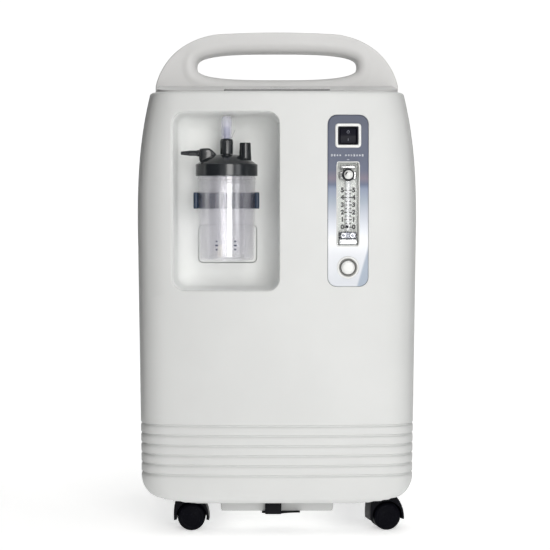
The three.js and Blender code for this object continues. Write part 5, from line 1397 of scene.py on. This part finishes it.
def build_switch(sx, sz, half):
    f = finishes()
    face = span("switch_bezel")[0][1]
    body_low, body_high = span("switch_body")
    inner = (body_high - body_low)[[0, 2]] / 2 + 0.3
    bezel = frame_of(sx, sz, half, inner, face, face + 8, 4.4, 1.1)
    piece("switch_bezel_ring", bezel.mesh("switch_bezel_ring"), f["trim"], "casing", ["switch_bezel"])
    rocker_low, rocker_high = span("switch_rocker")
    w, h = (rocker_high[0] - rocker_low[0]) / 2, 9.2
    housing = frame_of(sx, sz, inner - 0.3, (w + 0.3, h + 0.9), body_low[1], body_low[1] + 16, 1.4, 0.4)
    rim = rim_of_square(8)
    at = round_rect(rim, w + 0.4, h + 1.0, 0.4) + (sx, sz)
    floor = at_depth(at, body_low[1] + 9)
    housing.grid(np.array([floor, np.repeat(floor.mean(0)[None], len(at), 0)]))
    piece("switch_housing", housing.mesh("switch_housing"), f["switch"], "casing", ["switch_body"])

    # Rocker: two faces that meet in a shallow valley at the pivot, tilted to one side at rest.
    tilt = math.radians(8)
    v = np.linspace(-1, 1, 41)
    u = np.linspace(-1, 1, 25)
    swell = -2.2 + 1.1 * np.cos(v * np.pi / 2) - 1.2 * np.abs(v) ** 1.5
    edge = np.clip((np.abs(u) - 0.93) / 0.07, 0, 1) ** 2 * 0.8
    end = np.clip((np.abs(v) - 0.94) / 0.06, 0, 1) ** 2 * 0.8
    zz = h * np.repeat(v[:, None], 25, 1)
    yy = swell[:, None] + edge[None] + end[:, None]
    xx = w * np.repeat(u[None], 41, 0)
    top = np.stack([xx, yy, zz], 2)
    loop = edge_of(top)
    low = loop.copy()
    low[:, 1] = 1.6
    low[:, 2] *= 0.96
    shape = Patches().grid(top).grid(np.array([loop, low, np.repeat([[0, 1.8, 0]], len(loop), 0)]))
    cos, sin = math.cos(tilt), math.sin(tilt)
    turned_points = []
    for p in shape.points:
        y, zc = p[:, 1] * cos - p[:, 2] * sin, p[:, 1] * sin + p[:, 2] * cos
        turned_points.append(np.stack([p[:, 0] + sx, y + span("switch_bezel")[0][1] + 2.4 + 2.0, zc + sz], 1))
    shape.points = turned_points
    piece("switch_rocker_key", shape.mesh("switch_rocker_key", 40), f["switch"], "rocker", ["switch_rocker"])
    # Signs: a ring for off above, a bar for on below, printed on the rocker.
    base_y = span("switch_bezel")[0][1] + 4.4

    def on_rocker(px, py, pz):
        return np.stack([px + sx, py * cos - pz * sin + base_y, py * sin + pz * cos + sz], -1)

    t = np.linspace(0, 2 * np.pi, 33)
    radii = np.array([1.35, 1.75])[:, None]
    pz = 5.0 + radii * np.sin(t)[None]
    height = -2.2 + 1.1 * np.cos(pz / h * np.pi / 2) - 1.2 * np.abs(pz / h) ** 1.5 - 0.05
    signs = Patches().grid(on_rocker(radii * np.cos(t)[None], height, pz))
    bz, bxx = np.meshgrid(np.linspace(-6.4, -3.4, 4), np.array([-0.22, 0.22]), indexing="ij")
    height = -2.2 + 1.1 * np.cos(bz / h * np.pi / 2) - 1.2 * np.abs(bz / h) ** 1.5 - 0.05
    signs.grid(on_rocker(bxx, height, bz))
    piece("switch_signs", signs.mesh("switch_signs"), f["faint"], "rocker", wall=0.03)


def build_meter(mx, mz, half):
    """Flowmeter: white bezel, clear block, plated fittings behind it, a tube with its ball and the scale."""
    f = finishes()
    face = span("flowmeter_bezel")[0][1]
    low, high = span("flowmeter_body")
    w, t = (high[0] - low[0]) / 2, (high[2] - low[2]) / 2
    bezel = frame_of(mx, mz, half, (w + 0.25, t + 0.25), face, face + 8, 3.2, 0.8)
    piece("flowmeter_bezel_ring", bezel.mesh("flowmeter_bezel_ring"), f["trim"], "casing",
          ["flowmeter_bezel"])
    block_front, foot = low[1], low[2]
    tube_y = middle("flowmeter_float")[1]
    seat = span("flowmeter_float")[0][2]
    pane = pad(mx, mz, w - 0.1, t - 0.1, 0.8, block_front - 0.2, block_front + 1.4, 0.5, fill=2)
    piece("flowmeter_pane", pane.mesh("flowmeter_pane"), f["acrylic"], "casing", ["flowmeter_body"])
    tray = pad(mx, mz, w + 0.2, t + 0.2, 0.8, block_front + 13, block_front + 22, 0.2, fill=2)
    piece("flowmeter_backing", tray.mesh("flowmeter_backing"), f["backing"], "casing")

    # Walls of the block as a bright liner.
    rim = rim_of_square(10)
    liner = []
    for y in (block_front + 1.5, block_front + 13.2):
        at = round_rect(rim, w - 0.1, t - 0.1, 0.8) + (mx, mz)
        liner.append(at_depth(at, y))
    piece("flowmeter_liner", Patches().grid(np.array(liner)).mesh("flowmeter_liner", 40, False), f["backing"],
          "casing", wall=0.2)

    rod = soften([(0, seat - 3), (3.4, seat - 3), (3.6, seat), (3.6, seat + 60), (3.2, seat + 62),
                  (0, seat + 62)], 0.3)
    outer = lathe(rod, (mx, tube_y, 0), 48)
    piece("flow_tube", outer.mesh("flow_tube"), f["tube"], "casing")
    ball = soften([(0, -2), (0.7, -1.9), (1.45, -1.4), (2, 0), (1.45, 1.4), (0.7, 1.9), (0, 2)], 0.5, 3)
    piece("float_ball", lathe(ball, (mx - 1.2, tube_y - 4.4, seat + 2), 32).mesh("float_ball", 180),
          f["switch"], "float", ["flowmeter_float"])

    # Scale: a long tick and a figure on both sides for each litre, a short tick between.
    ink_y = block_front - 0.26
    first, pitch = seat + 1.6, 9.35
    ticks = Patches()
    for i in range(11):
        zz = first + pitch * i / 2
        reach = 4.9 if i % 2 == 0 else 3.6
        for side in (-1, 1):
            u, v = np.meshgrid(np.array([1.4, reach]) * side, np.array([-0.6, 0.6]))
            ticks.grid(np.stack([mx + u, 0 * u + ink_y, zz + v], 2))
    piece("scale_ticks", ticks.mesh("scale_ticks"), f["ink"], "casing", wall=0.04)
    for i in range(6):
        for side in (-1, 1):
            printed("scale_%d_%s" % (i, "left" if side < 0 else "right"), str(i), 7.9,
                    (mx + side * 7.2, ink_y, first + pitch * i), f["ink"], "casing", 0.03)

    # Plated valve body behind the knob, and the lower fitting with its bright union.
    top_z = middle("flow_knob")[2]
    for name, zz, wide, tall, finish in (
        ("valve_block", top_z - 0.5, 10.8, 5.2, "zinc"),
        ("lower_block", foot + 12.2, 11.0, 4.6, "dark_chrome"),
        ("head_block", top_z + 9.8, 9.5, 2.4, "zinc"),
        ("foot_block", foot + 4.0, 11.6, 3.4, "chrome"),
    ):
        shape = pad(mx, zz, wide, tall, 2.0, block_front + 3.4, block_front + 12.5, 1.4, fill=2)
        piece("flowmeter_" + name, shape.mesh("flowmeter_" + name), f[finish], "casing")
    union = soften(
        [(0, 0.4), (1.6, 0.4), (2.0, 2.6), (3.0, 2.6), (3.6, 1.6), (3.6, -1), (0, -1)],
        [0, 0.2, 0.4, 0.5, 0.5, 0.3, 0]
    )
    for side in (-1, 1):
        u = lathe(union, (mx + side * 5.6, block_front + 5.2, foot + 12.2), 40, facing_front)
        piece("lower_union_" + ("left" if side < 0 else "right"), u.mesh("lower_union"), f["chrome"],
              "casing")

    # Knob: a dark knurled skirt with a white domed button in it.
    kx, kz = middle("flow_knob")[[0, 2]]
    tip = block_front - span("flow_knob")[0][1]
    skirt = soften([(2.5, -10), (2.5, 1), (7.8, 1), (8, 2.2), (7.6, tip - 3.4), (6.9, tip - 2.6),
                    (6.0, tip - 2.8), (0, tip - 2.8)], [0, 0.3, 0.5, 0.7, 0.8, 0.4, 0.2, 0])
    p = revolve(skirt, 168)
    a = np.arctan2(p[..., 1], p[..., 0])
    rim_part = (np.hypot(p[..., 0], p[..., 1]) > 7.2) & (p[..., 2] > 2)
    scale = np.where(rim_part, 1 - 0.05 * (0.5 + 0.5 * np.cos(24 * a)) ** 2, 1)
    p = facing_front(p * np.stack([scale, scale, np.ones_like(scale)], 2))
    knob = Patches().grid(moved(p, kx, block_front, kz))
    piece("flow_knob_skirt", knob.mesh("flow_knob_skirt", 30), f["switch"], "knob", ["flow_knob"])
    dome = soften([(0, tip), (3.2, tip - 0.5), (5.2, tip - 1.7), (5.8, tip - 2.8), (5.8, tip - 4)],
                  [0, 1.6, 1.2, 0.6, 0])
    piece("flow_knob_button", lathe(dome, (kx, block_front, kz), 64, facing_front).mesh("flow_knob_button"),
          f["trim"], "knob", wall=0.4)
    # A dark index mark: a crescent that tapers to both ends, laid just clear of the button.
    t = np.linspace(0, 1, 15)
    turn = np.radians(100 + 105 * t)
    radii = 3.5 + np.array([-0.8, 0.0, 0.8])[:, None] * np.sin(np.pi * t)[None]
    mark = np.stack([kx + radii * np.cos(turn),
                     np.full(radii.shape, block_front - tip - 0.08) + 0.022 * radii**2,
                     kz + radii * np.sin(turn)], 2)
    piece("flow_knob_mark", Patches().grid(mark).mesh("flow_knob_mark"), f["switch"], "knob",
          wall=0.05)


def build_outlet(ox, oz, ring):
    f = finishes()
    face = span("outlet_bezel")[0][1]
    cup = 11.2
    flange = soften(
        [(ring, -3), (ring, 0.3), (ring - 0.8, 1.5), (cup + 0.9, 1.6), (cup, 0.6), (cup - 0.3, -12),
         (0, -12)],
        [0, 0.7, 0.8, 0.8, 0.6, 1.5, 0],
    )
    at = (ox, face + 1.6, oz)
    piece("outlet_flange", lathe(flange, at, 96, facing_front).mesh("outlet_flange", 40), f["trim"], "casing",
          ["outlet_bezel"], 0.5)
    cup_ring = soften([(10.9, -0.9), (10.6, -0.6), (10.0, -0.9), (9.7, -9), (10.9, -9), (10.9, -0.9)], 0.2)
    piece("outlet_shadow_ring", lathe(cup_ring, at, 96, facing_front).mesh("outlet_shadow_ring"),
          f["grommet"], "casing")
    nozzle = soften([(1.5, -11.5), (1.5, -0.5), (3.1, -0.5), (4.0, -6.0), (3.4, -6.4), (4.0, -11.6)], 0.3)
    piece("nozzle_barb", lathe(nozzle, at, 64, facing_front).mesh("nozzle_barb"), f["chrome"], "casing",
          ["oxygen_nozzle"])
    tip = face + 1.6 - span("nozzle_cap")[0][1]
    cap = soften([(0, tip), (6.2, tip - 0.1), (8.3, tip - 1.0), (8.9, tip - 2.6), (8.9, tip - 12),
                  (7.4, tip - 12), (7.4, tip - 3), (0, tip - 3)], [0, 1.5, 1.2, 1.0, 0.4, 0.4, 0.5, 0])
    piece("nozzle_cap_dome", lathe(cap, at, 96, facing_front).mesh("nozzle_cap_dome"), f["trim"],
          "nozzle_cap", ["nozzle_cap"])


# ------------------------------------------------------------------ chassis, tray and casters
def build_base():
    f = finishes()
    low, high = span("base_tray")
    cx, cy = (low[0] + high[0]) / 2, (low[1] + high[1]) / 2
    tray = slab(cx, cy, (high[0] - low[0]) / 2 + 1.5, (high[1] - low[1]) / 2, 4.0, low[2], high[2] - 0.4,
                1.6, 3.0, 24)
    piece("base_tray_shell", tray.mesh("base_tray_shell"), f["cover"], "casing", ["base_tray"])
    bx = (span("exhaust_baffle")[0][0] + 16 + span("exhaust_baffle")[1][0] - 52) / 2
    front = low[1]
    baffle = slab(bx, front - 4.3, 10.6, 3.9, 1.4, low[2] - 2.4, low[2] + 30, 1.0, 0.0, 8)
    t = np.linspace(0, 1, 40)
    x = bx - 15 + 50 * t
    under = low[2] - 0.35 + 0 * t
    sag = under - 1.9 * np.exp(-(((x - bx) / 13.0) ** 2)) - 0.5 * np.exp(-(((x - bx - 14) / 16.0) ** 2))
    ring = []
    for y, zz in ((front - 5.5, under), (front - 5.9, sag), (front + 7.0, sag), (front + 7.0, under),
                  (front - 5.5, under)):
        ring.append(np.stack([x, np.full(40, y), zz], 1))
    lip = np.array(ring).transpose(1, 0, 2)
    ends = [np.repeat(v.mean(0)[None], 5, 0)[None] for v in (lip[0], lip[-1])]
    baffle.grid(np.concatenate([ends[0], lip, ends[1]]))
    piece("exhaust_baffle_block", baffle.mesh("exhaust_baffle_block"), f["rubber"], "casing",
          ["exhaust_baffle"])
    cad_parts["base_chassis"].data.materials.clear()
    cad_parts["base_chassis"].data.materials.append(f["steel"])


CASTERS = {"front_left": 0.0, "front_right": 12.0, "rear_left": 24.0, "rear_right": -20.0}
TRAIL, WHEEL_RADIUS = 15.0, 18.0


def stem_of(name):
    """Place of a caster's stem in plan: the wheels' middle moved back by the trail."""
    x, y, _ = middle("caster_wheels_" + name)
    turn = math.radians(CASTERS[name])
    return x - TRAIL * math.cos(turn), y - TRAIL * math.sin(turn)


def hood_outline(n=90):
    """The hood's outer line about the axle, from the front lip over the shoulder and stem seat to the
    rear lip."""
    a = curve_points((23, -4.5), (24, 12), (14, 28), (4, 32), 40)
    b = np.stack([np.linspace(4, -14, 12), np.full(12, 32.0)], 1)
    c = curve_points((-14, 32), (-20, 30), (-24.5, 14), (-23, -4.5), 40)
    p = np.concatenate([a, b[1:-1], c])
    run = np.concatenate([[0], np.cumsum(np.linalg.norm(np.diff(p, axis=0), axis=1))])
    at = np.linspace(0, run[-1], n)
    return np.stack([np.interp(at, run, p[:, 0]), np.interp(at, run, p[:, 1])], 1)


def build_casters():
    """Hood: a rounded rectangle stretched between the wheel well and the outer line, carried round the
    wheel. Wheels: a turned profile with a crowned tread and a shallow domed face."""
    f, s = finishes(), settings("gear")
    outer = hood_outline()
    a = np.arctan2(outer[:, 1], outer[:, 0])
    inner = 19.4 * np.stack([np.cos(a), np.sin(a)], 1)
    rim = rim_of_square(7)
    for name, yaw in CASTERS.items():
        sx, sy = stem_of(name)
        mid, half = (outer + inner) / 2, (outer - inner) / 2
        size = np.linalg.norm(half, axis=1)
        along = half / size[:, None]
        rings = []
        for m, h, d in zip(mid, size, along):
            q = round_rect(rim, h, 14.6, min(s.hood_edge, h - 0.05))
            rings.append(np.stack([m[0] + d[0] * q[:, 0], q[:, 1], m[1] + d[1] * q[:, 0]], 1))
        rings = [np.repeat(rings[0].mean(0)[None], len(rim), 0), *rings,
                 np.repeat(rings[-1].mean(0)[None], len(rim), 0)]
        hood = Patches().grid(moved(np.array(rings), TRAIL, 0, WHEEL_RADIUS))
        web = [(r, y) for r, y in ((0, 2), (17.5, 2), (19.8, 2.6), (19.8, -2.6), (17.5, -2), (0, -2))]
        disc = facing_front(revolve(web, 48))[:, :25]
        hood.grid(moved(disc, TRAIL, 0, WHEEL_RADIUS)).grid(moved(disc[:, [0, 24]], TRAIL, 0, WHEEL_RADIUS))
        post = soften([(0, 49), (8, 49), (8, 51.5), (5, 52.5), (5, 76), (4, 77), (0, 77)], 0.6)
        hood.grid(revolve(post, 32))
        hood.points = [turned(moved(p, sx, sy, 0), yaw, sx, sy) for p in hood.points]
        piece("caster_%s_hood" % name, hood.mesh("caster_%s_hood" % name, 38), f["black"], "swivel_" + name,
              ["caster_hood_" + name])
        profile = soften(
            [(0, 17.6), (5.2, 17.5), (5.6, 17.0), (12.4, 16.4), (13.4, 16.9), (15.6, 16.2), (17.9, 13.8),
             (18, 4.4), (17.2, 3.0), (3, 3.0)],
            [0, 0.3, 0.5, 0.6, 0.5, 1.0, 1.4, 1.0, 0.6, 0],
        )
        wheels = Patches()
        for side in (1, -1):
            p = revolve(profile, 96)
            p = np.stack([p[..., 0], -side * p[..., 2], p[..., 1]], -1)
            wheels.grid(moved(p, TRAIL, 0, WHEEL_RADIUS))
        axle = revolve([(0, 3.2), (3, 3.2), (3, -3.2), (0, -3.2)], 24)
        wheels.grid(moved(facing_front(axle), TRAIL, 0, WHEEL_RADIUS))
        wheels.points = [turned(moved(p, sx, sy, 0), yaw, sx, sy) for p in wheels.points]
        piece("caster_%s_wheels" % name, wheels.mesh("caster_%s_wheels" % name, 30), f["tyre"],
              "wheels_" + name, ["caster_wheels_" + name])


# ------------------------------------------------------------------ back
def build_back():
    """Intake door with louvres, filter, mains inlet and breaker."""
    f = finishes()
    low, high = span("filter_door")
    cx, cz = (low[0] + high[0]) / 2, (low[2] + high[2]) / 2
    a, b = (high[0] - low[0]) / 2, (high[2] - low[2]) / 2
    slots = [(cx, cz + 17 * i - 1.5, 68.0, 3.0, 3.0) for i in range(-3, 4)]
    xs = lines([cx - a + 3, cx + a - 3, cx - 73, cx + 73], 4.0)
    zs = lines([cz - b + 3, cz + b - 3, *[s[1] + d for s in slots for d in (-6, 6)]], 2.5)
    gx, gz = np.meshgrid(xs, zs)

    def door_y(px, pz):
        return REAR_Y + 0 * px

    p = np.stack([gx, door_y(gx, gz), gz], 2)
    i0, i1 = np.argmin(abs(xs - cx + 73)), np.argmin(abs(xs - cx - 73))
    holes = [
        ((np.argmin(abs(zs - s[1] + 6)), np.argmin(abs(zs - s[1] - 6)), i0, i1), s, 0.8, 2.2) for s in slots
    ]
    door = pierce(Patches(), p, holes, door_y, -1)
    edge = p[tuple(edge_cells(len(zs), len(xs)))]
    q = np.stack([(edge[:, 0] - cx) / (a - 3), (edge[:, 2] - cz) / (b - 3)], 1)
    rows = [edge]
    for s, d in [*zip(*corner_rings(0.9, 4)), (0, 2.2)]:
        at = round_rect(q, a - 0.1 - s, b - 0.1 - s, 4.0 - s) + (cx, cz)
        rows.append(at_depth(at, REAR_Y - d))
    door.grid(np.array(rows))
    piece("filter_door_panel", door.mesh("filter_door_panel", 40), f["cover"], "door", ["filter_door"],
          0.8)

    low, high = span("intake_filter")
    half = (high - low) / 2
    mid = (high + low) / 2
    n = 40
    u, v = np.meshgrid(np.linspace(-1, 1, 3 * n), np.linspace(-1, 1, 3 * n))
    pad_y = high[1] - 0.9 * (np.abs(np.sin(u * 40)) * np.abs(np.sin(v * 36))) - 0.4
    fade = np.minimum(1, np.minimum(1 - np.abs(u), 1 - np.abs(v)) * 30)
    front = np.stack([mid[0] + half[0] * u, low[1] + (pad_y - low[1]) * (0.6 + 0.4 * fade),
                      mid[2] + half[2] * v], 2)
    loop = edge_of(front)
    back = loop.copy()
    back[:, 1] = low[1] + 0.2
    shape = Patches().grid(front).grid(np.array([loop, back, np.repeat([back.mean(0)], len(loop), 0)]))
    piece("intake_filter_foam", shape.mesh("intake_filter_foam", 60), f["foam"], "casing", ["intake_filter"])

    # Mains inlet: a flange, a rounded cavity and three flat pins.
    ix, iz = middle("mains_inlet")[[0, 2]]
    low, high = span("mains_inlet")
    half = (high - low)[[0, 2]] / 2
    rim = rim_of_square(14)
    rows = []
    for size, r, depth in [
        ((half[0], half[1]), 4.0, 2.4), ((half[0], half[1]), 4.0, 0.5),
        ((half[0] - 0.5, half[1] - 0.5), 3.6, 0.0),
        ((13.4, 9.6), 3.2, 0.0), ((12.0, 8.25), 2.4, 0.8), ((12.0, 8.25), 2.4, 17.5),
        ((0.01, 0.01), 0.005, 17.5),
    ]:
        at = round_rect(rim, size[0], size[1], r) + (ix, iz)
        rows.append(at_depth(at, REAR_Y - depth))
    inlet = Patches().grid(np.array(rows))
    piece("mains_inlet_body", inlet.mesh("mains_inlet_body", 35), f["switch"], "casing", ["mains_inlet"])
    pins = Patches()
    for dx, dz in ((-7, -1.5), (7, -1.5), (0, 2.5)):
        slab(ix + dx, REAR_Y - 11, 1.0, 6.5, 0.5, iz + dz - 2, iz + dz + 2, 0.4, patches=pins)
    piece("mains_inlet_pins", pins.mesh("mains_inlet_pins"), f["chrome"], "casing")
    screws = Patches()
    for side in (-1, 1):
        head = soften([(0, 0.2), (0.9, 0.2), (1.2, 0.9), (2.4, 0.6), (3.1, 0.0), (3.1, -0.5)], 0.3)
        screws.grid(moved(facing_back(revolve(head, 40)), ix + side * 20.5, REAR_Y, iz))
    piece("mains_inlet_screws", screws.mesh("mains_inlet_screws"), f["chrome"], "casing")

    bx, bz = middle("breaker_body")[[0, 2]]
    ring = soften([(10.4, -2), (10.4, 0), (9.4, 0.9), (5.2, 0.9), (4.4, 0.2), (4.4, -8), (0, -8)],
                  [0, 0.6, 0.8, 0.4, 0.4, 0, 0])
    ring[:, 1] -= 0.9
    piece("breaker_collar", lathe(ring, (bx, REAR_Y, bz), 72, facing_back).mesh("breaker_collar"),
          f["switch"], "casing", ["breaker_body"], 0.3)
    tip = span("breaker_button")[1][1] - REAR_Y
    button = soften([(0, tip), (3.0, tip - 0.1), (3.9, tip - 1.0), (3.9, -7), (0, -7)], [0, 1, 0.9, 0.3, 0])
    piece("breaker_button_cap", lathe(button, (bx, REAR_Y, bz), 48, facing_back).mesh("breaker_button_cap"),
          f["trim"], "reset_button", ["breaker_button"])


def build_inside():
    """Carried frame nodes that are seen only through slots and openings get their working finishes."""
    f = finishes()
    kinds = {
        "cast": ["compressor_body", "cylinder_head_left", "cylinder_head_right", "valve_manifold"],
        "steel": ["inner_frame", "compressor_shaft", "sieve_bed_left", "sieve_bed_right", "heat_exchanger"],
        "rubber": ["rubber_mount_" + n for n in CASTERS],
        "trim": ["product_tank"],
        "switch": ["cooling_fan_frame", "cooling_fan_rotor"],
        "board": ["control_board"],
    }
    for kind, names in kinds.items():
        for name in names:
            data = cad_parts[name].data
            data.materials.clear()
            data.materials.append(f[kind])


# ------------------------------------------------------------------ stage
CAMERA_X, CAMERA_Z, CAMERA_BACK, LENS = -2.5, 427.0, 2200.0, 113.8
AIM_DROP = 92.8


def build_stage():
    s = settings("stage")
    scene = bpy.context.scene
    scene.view_settings.view_transform = "Standard"
    scene.view_settings.look = "None"

    # One sheet: a flat floor that curves up far behind the machine.
    t = np.linspace(0, 1, 60)
    bend = 2500
    run = np.concatenate([np.linspace(-6000, bend, 20), bend + bend * np.sin(t[1:] * np.pi / 2), [2 * bend]])
    rise = np.concatenate([np.zeros(20), bend * (1 - np.cos(t[1:] * np.pi / 2)), [6000]])
    xs = np.linspace(-7000, 7000, 15)
    sheet = np.stack([np.repeat(xs[None], len(run), 0), np.repeat(run[:, None], 15, 1),
                      np.repeat(rise[:, None], 15, 1)], 2)
    data = Patches().grid(sheet).mesh("studio_floor", 60, False)
    floor = bpy.data.objects.new("studio_floor", data)
    scene.collection.objects.link(floor)
    material, _, shader = base_material("studio_paper")
    shader.inputs["Base Color"].default_value = (*s.floor, 1)
    shader.inputs["Roughness"].default_value = 0.9
    shader.inputs["Specular IOR Level"].default_value = 0.1
    shader.inputs["Emission Color"].default_value = (1, 1, 1, 1)
    shader.inputs["Emission Strength"].default_value = s.glow
    floor.data.materials.append(material)

    # Dark cards beside the machine, out of the picture, that shade its flanks.
    card_paper, _, shader = base_material("card_paper")
    shader.inputs["Base Color"].default_value = (0.02, 0.019, 0.018, 1)
    shader.inputs["Roughness"].default_value = 0.9
    for name, x, y0, y1, top in (("left_card", -560, -1300, 420, 1500), ("right_card", 660, -600, 420, 1300)):
        gy, gz = np.meshgrid(np.linspace(y0, y1, 6), np.linspace(20, top, 6))
        data = Patches().grid(np.stack([0 * gy + x, gy, gz], 2)).mesh(name)
        card = bpy.data.objects.new(name, data)
        scene.collection.objects.link(card)
        card.data.materials.append(card_paper)
        card.visible_camera = False

    world = bpy.data.worlds.new("studio_surround")
    scene.world = world
    world.use_nodes = True
    world.node_tree.nodes["Background"].inputs[0].default_value = (1, 1, 1, 1)
    world.node_tree.nodes["Background"].inputs[1].default_value = s.sky

    def area(name, at, target, wide, tall, power, tint=(1, 1, 1)):
        light = bpy.data.lights.new(name, "AREA")
        light.shape = "RECTANGLE"
        light.size, light.size_y, light.energy, light.color = wide, tall, power, tint
        obj = bpy.data.objects.new(name, light)
        scene.collection.objects.link(obj)
        obj.location = at
        way = Vector(target) - Vector(at)
        obj.rotation_euler = way.to_track_quat("-Z", "Y").to_euler()
        return obj

    area("strip_box", (0.48, -2.4, 0.8), (0.0, 0.0, 0.4), 0.9, 1.7, s.key_power, (1.0, 0.99, 0.97))
    area("side_box", (1.6, -1.8, 0.8), (0.0, 0.0, 0.35), 0.7, 1.2, s.side_power, (0.97, 0.985, 1.0))
    area("overhead_box", (0.3, -0.4, 2.4), (0.0, 0.0, 0.2), 1.8, 1.8, s.fill_power)

    data = bpy.data.cameras.new("camera")
    data.lens, data.sensor_width = LENS, 36.0
    data.clip_start, data.clip_end = 0.1, 50.0
    camera = bpy.data.objects.new("camera", data)
    scene.collection.objects.link(camera)
    camera.location = (CAMERA_X * MM, (FRONT_Y - CAMERA_BACK) * MM, CAMERA_Z * MM)
    camera.rotation_euler = (math.radians(90) - math.atan(AIM_DROP / CAMERA_BACK), 0, 0)
    scene.camera = camera


# ------------------------------------------------------------------ operators, panel and registration
def operator(key, label, text, *builders):
    """An operator class that runs its builders in order."""

    def execute(self, context):
        for build in builders:
            build()
        return {"FINISHED"}

    return type(
        "CONCENTRATOR_OT_" + key,
        (bpy.types.Operator,),
        {"bl_idname": "concentrator." + key, "bl_label": label, "__doc__": text, "execute": execute},
    )


OPERATORS = [
    operator("covers", "Covers", "Build the front and rear covers with grooves, openings and louvres",
             build_covers),
    operator("niche", "Niche", "Build the humidifier niche and its hatch", build_niche),
    operator("roof", "Roof and handle", "Build the roof, the carrying arch and the display window",
             build_roof, build_display),
    operator("bottle", "Humidifier", "Build the humidifier bottle with its fittings", build_bottle),
    operator("clip", "Bottle clip", "Build the band that holds the bottle", build_clip),
    operator("panel", "Control panel", "Build the panel film, switch, flowmeter and oxygen outlet",
             build_panel),
    operator("base", "Base", "Build the base tray and the exhaust baffle", build_base),
    operator("casters", "Casters", "Build the four twin-wheel casters", build_casters),
    operator("back", "Back", "Build the intake door, filter, mains inlet and breaker", build_back),
    operator("inside", "Inside", "Give the inner pieces their finishes", build_inside),
    operator("stage", "Stage", "Build the floor, lights and camera", build_stage),
]


class CONCENTRATOR_PT_panel(bpy.types.Panel):
    """Lists the settings and the build steps"""

    bl_label = "Oxygen concentrator"
    bl_space_type = "VIEW_3D"
    bl_region_type = "UI"
    bl_category = "Concentrator"

    def draw(self, context):
        for name, group in GROUPS.items():
            box = self.layout.box()
            box.label(text=name.capitalize())
            for key in group.__annotations__:
                box.prop(settings(name), key)
        for step in OPERATORS:
            self.layout.operator(step.bl_idname)


def register():
    for name, group in GROUPS.items():
        bpy.utils.register_class(group)
        setattr(bpy.types.Scene, "concentrator_" + name, PointerProperty(type=group))
    for step in OPERATORS:
        bpy.utils.register_class(step)
    bpy.utils.register_class(CONCENTRATOR_PT_panel)


def unregister():
    bpy.utils.unregister_class(CONCENTRATOR_PT_panel)
    for step in reversed(OPERATORS):
        bpy.utils.unregister_class(step)
    for name, group in GROUPS.items():
        delattr(bpy.types.Scene, "concentrator_" + name)
        bpy.utils.unregister_class(group)


def main():
    """Registers the add-on, runs every build step and notes the frame's box and the model's box."""
    register()
    for step in OPERATORS:
        done = getattr(bpy.ops.concentrator, step.bl_idname.split(".")[1])()
        if done != {"FINISHED"}:
            raise RuntimeError(step.bl_label + " did not finish")
    bpy.context.view_layer.update()


if __name__ == "__main__":
    main()
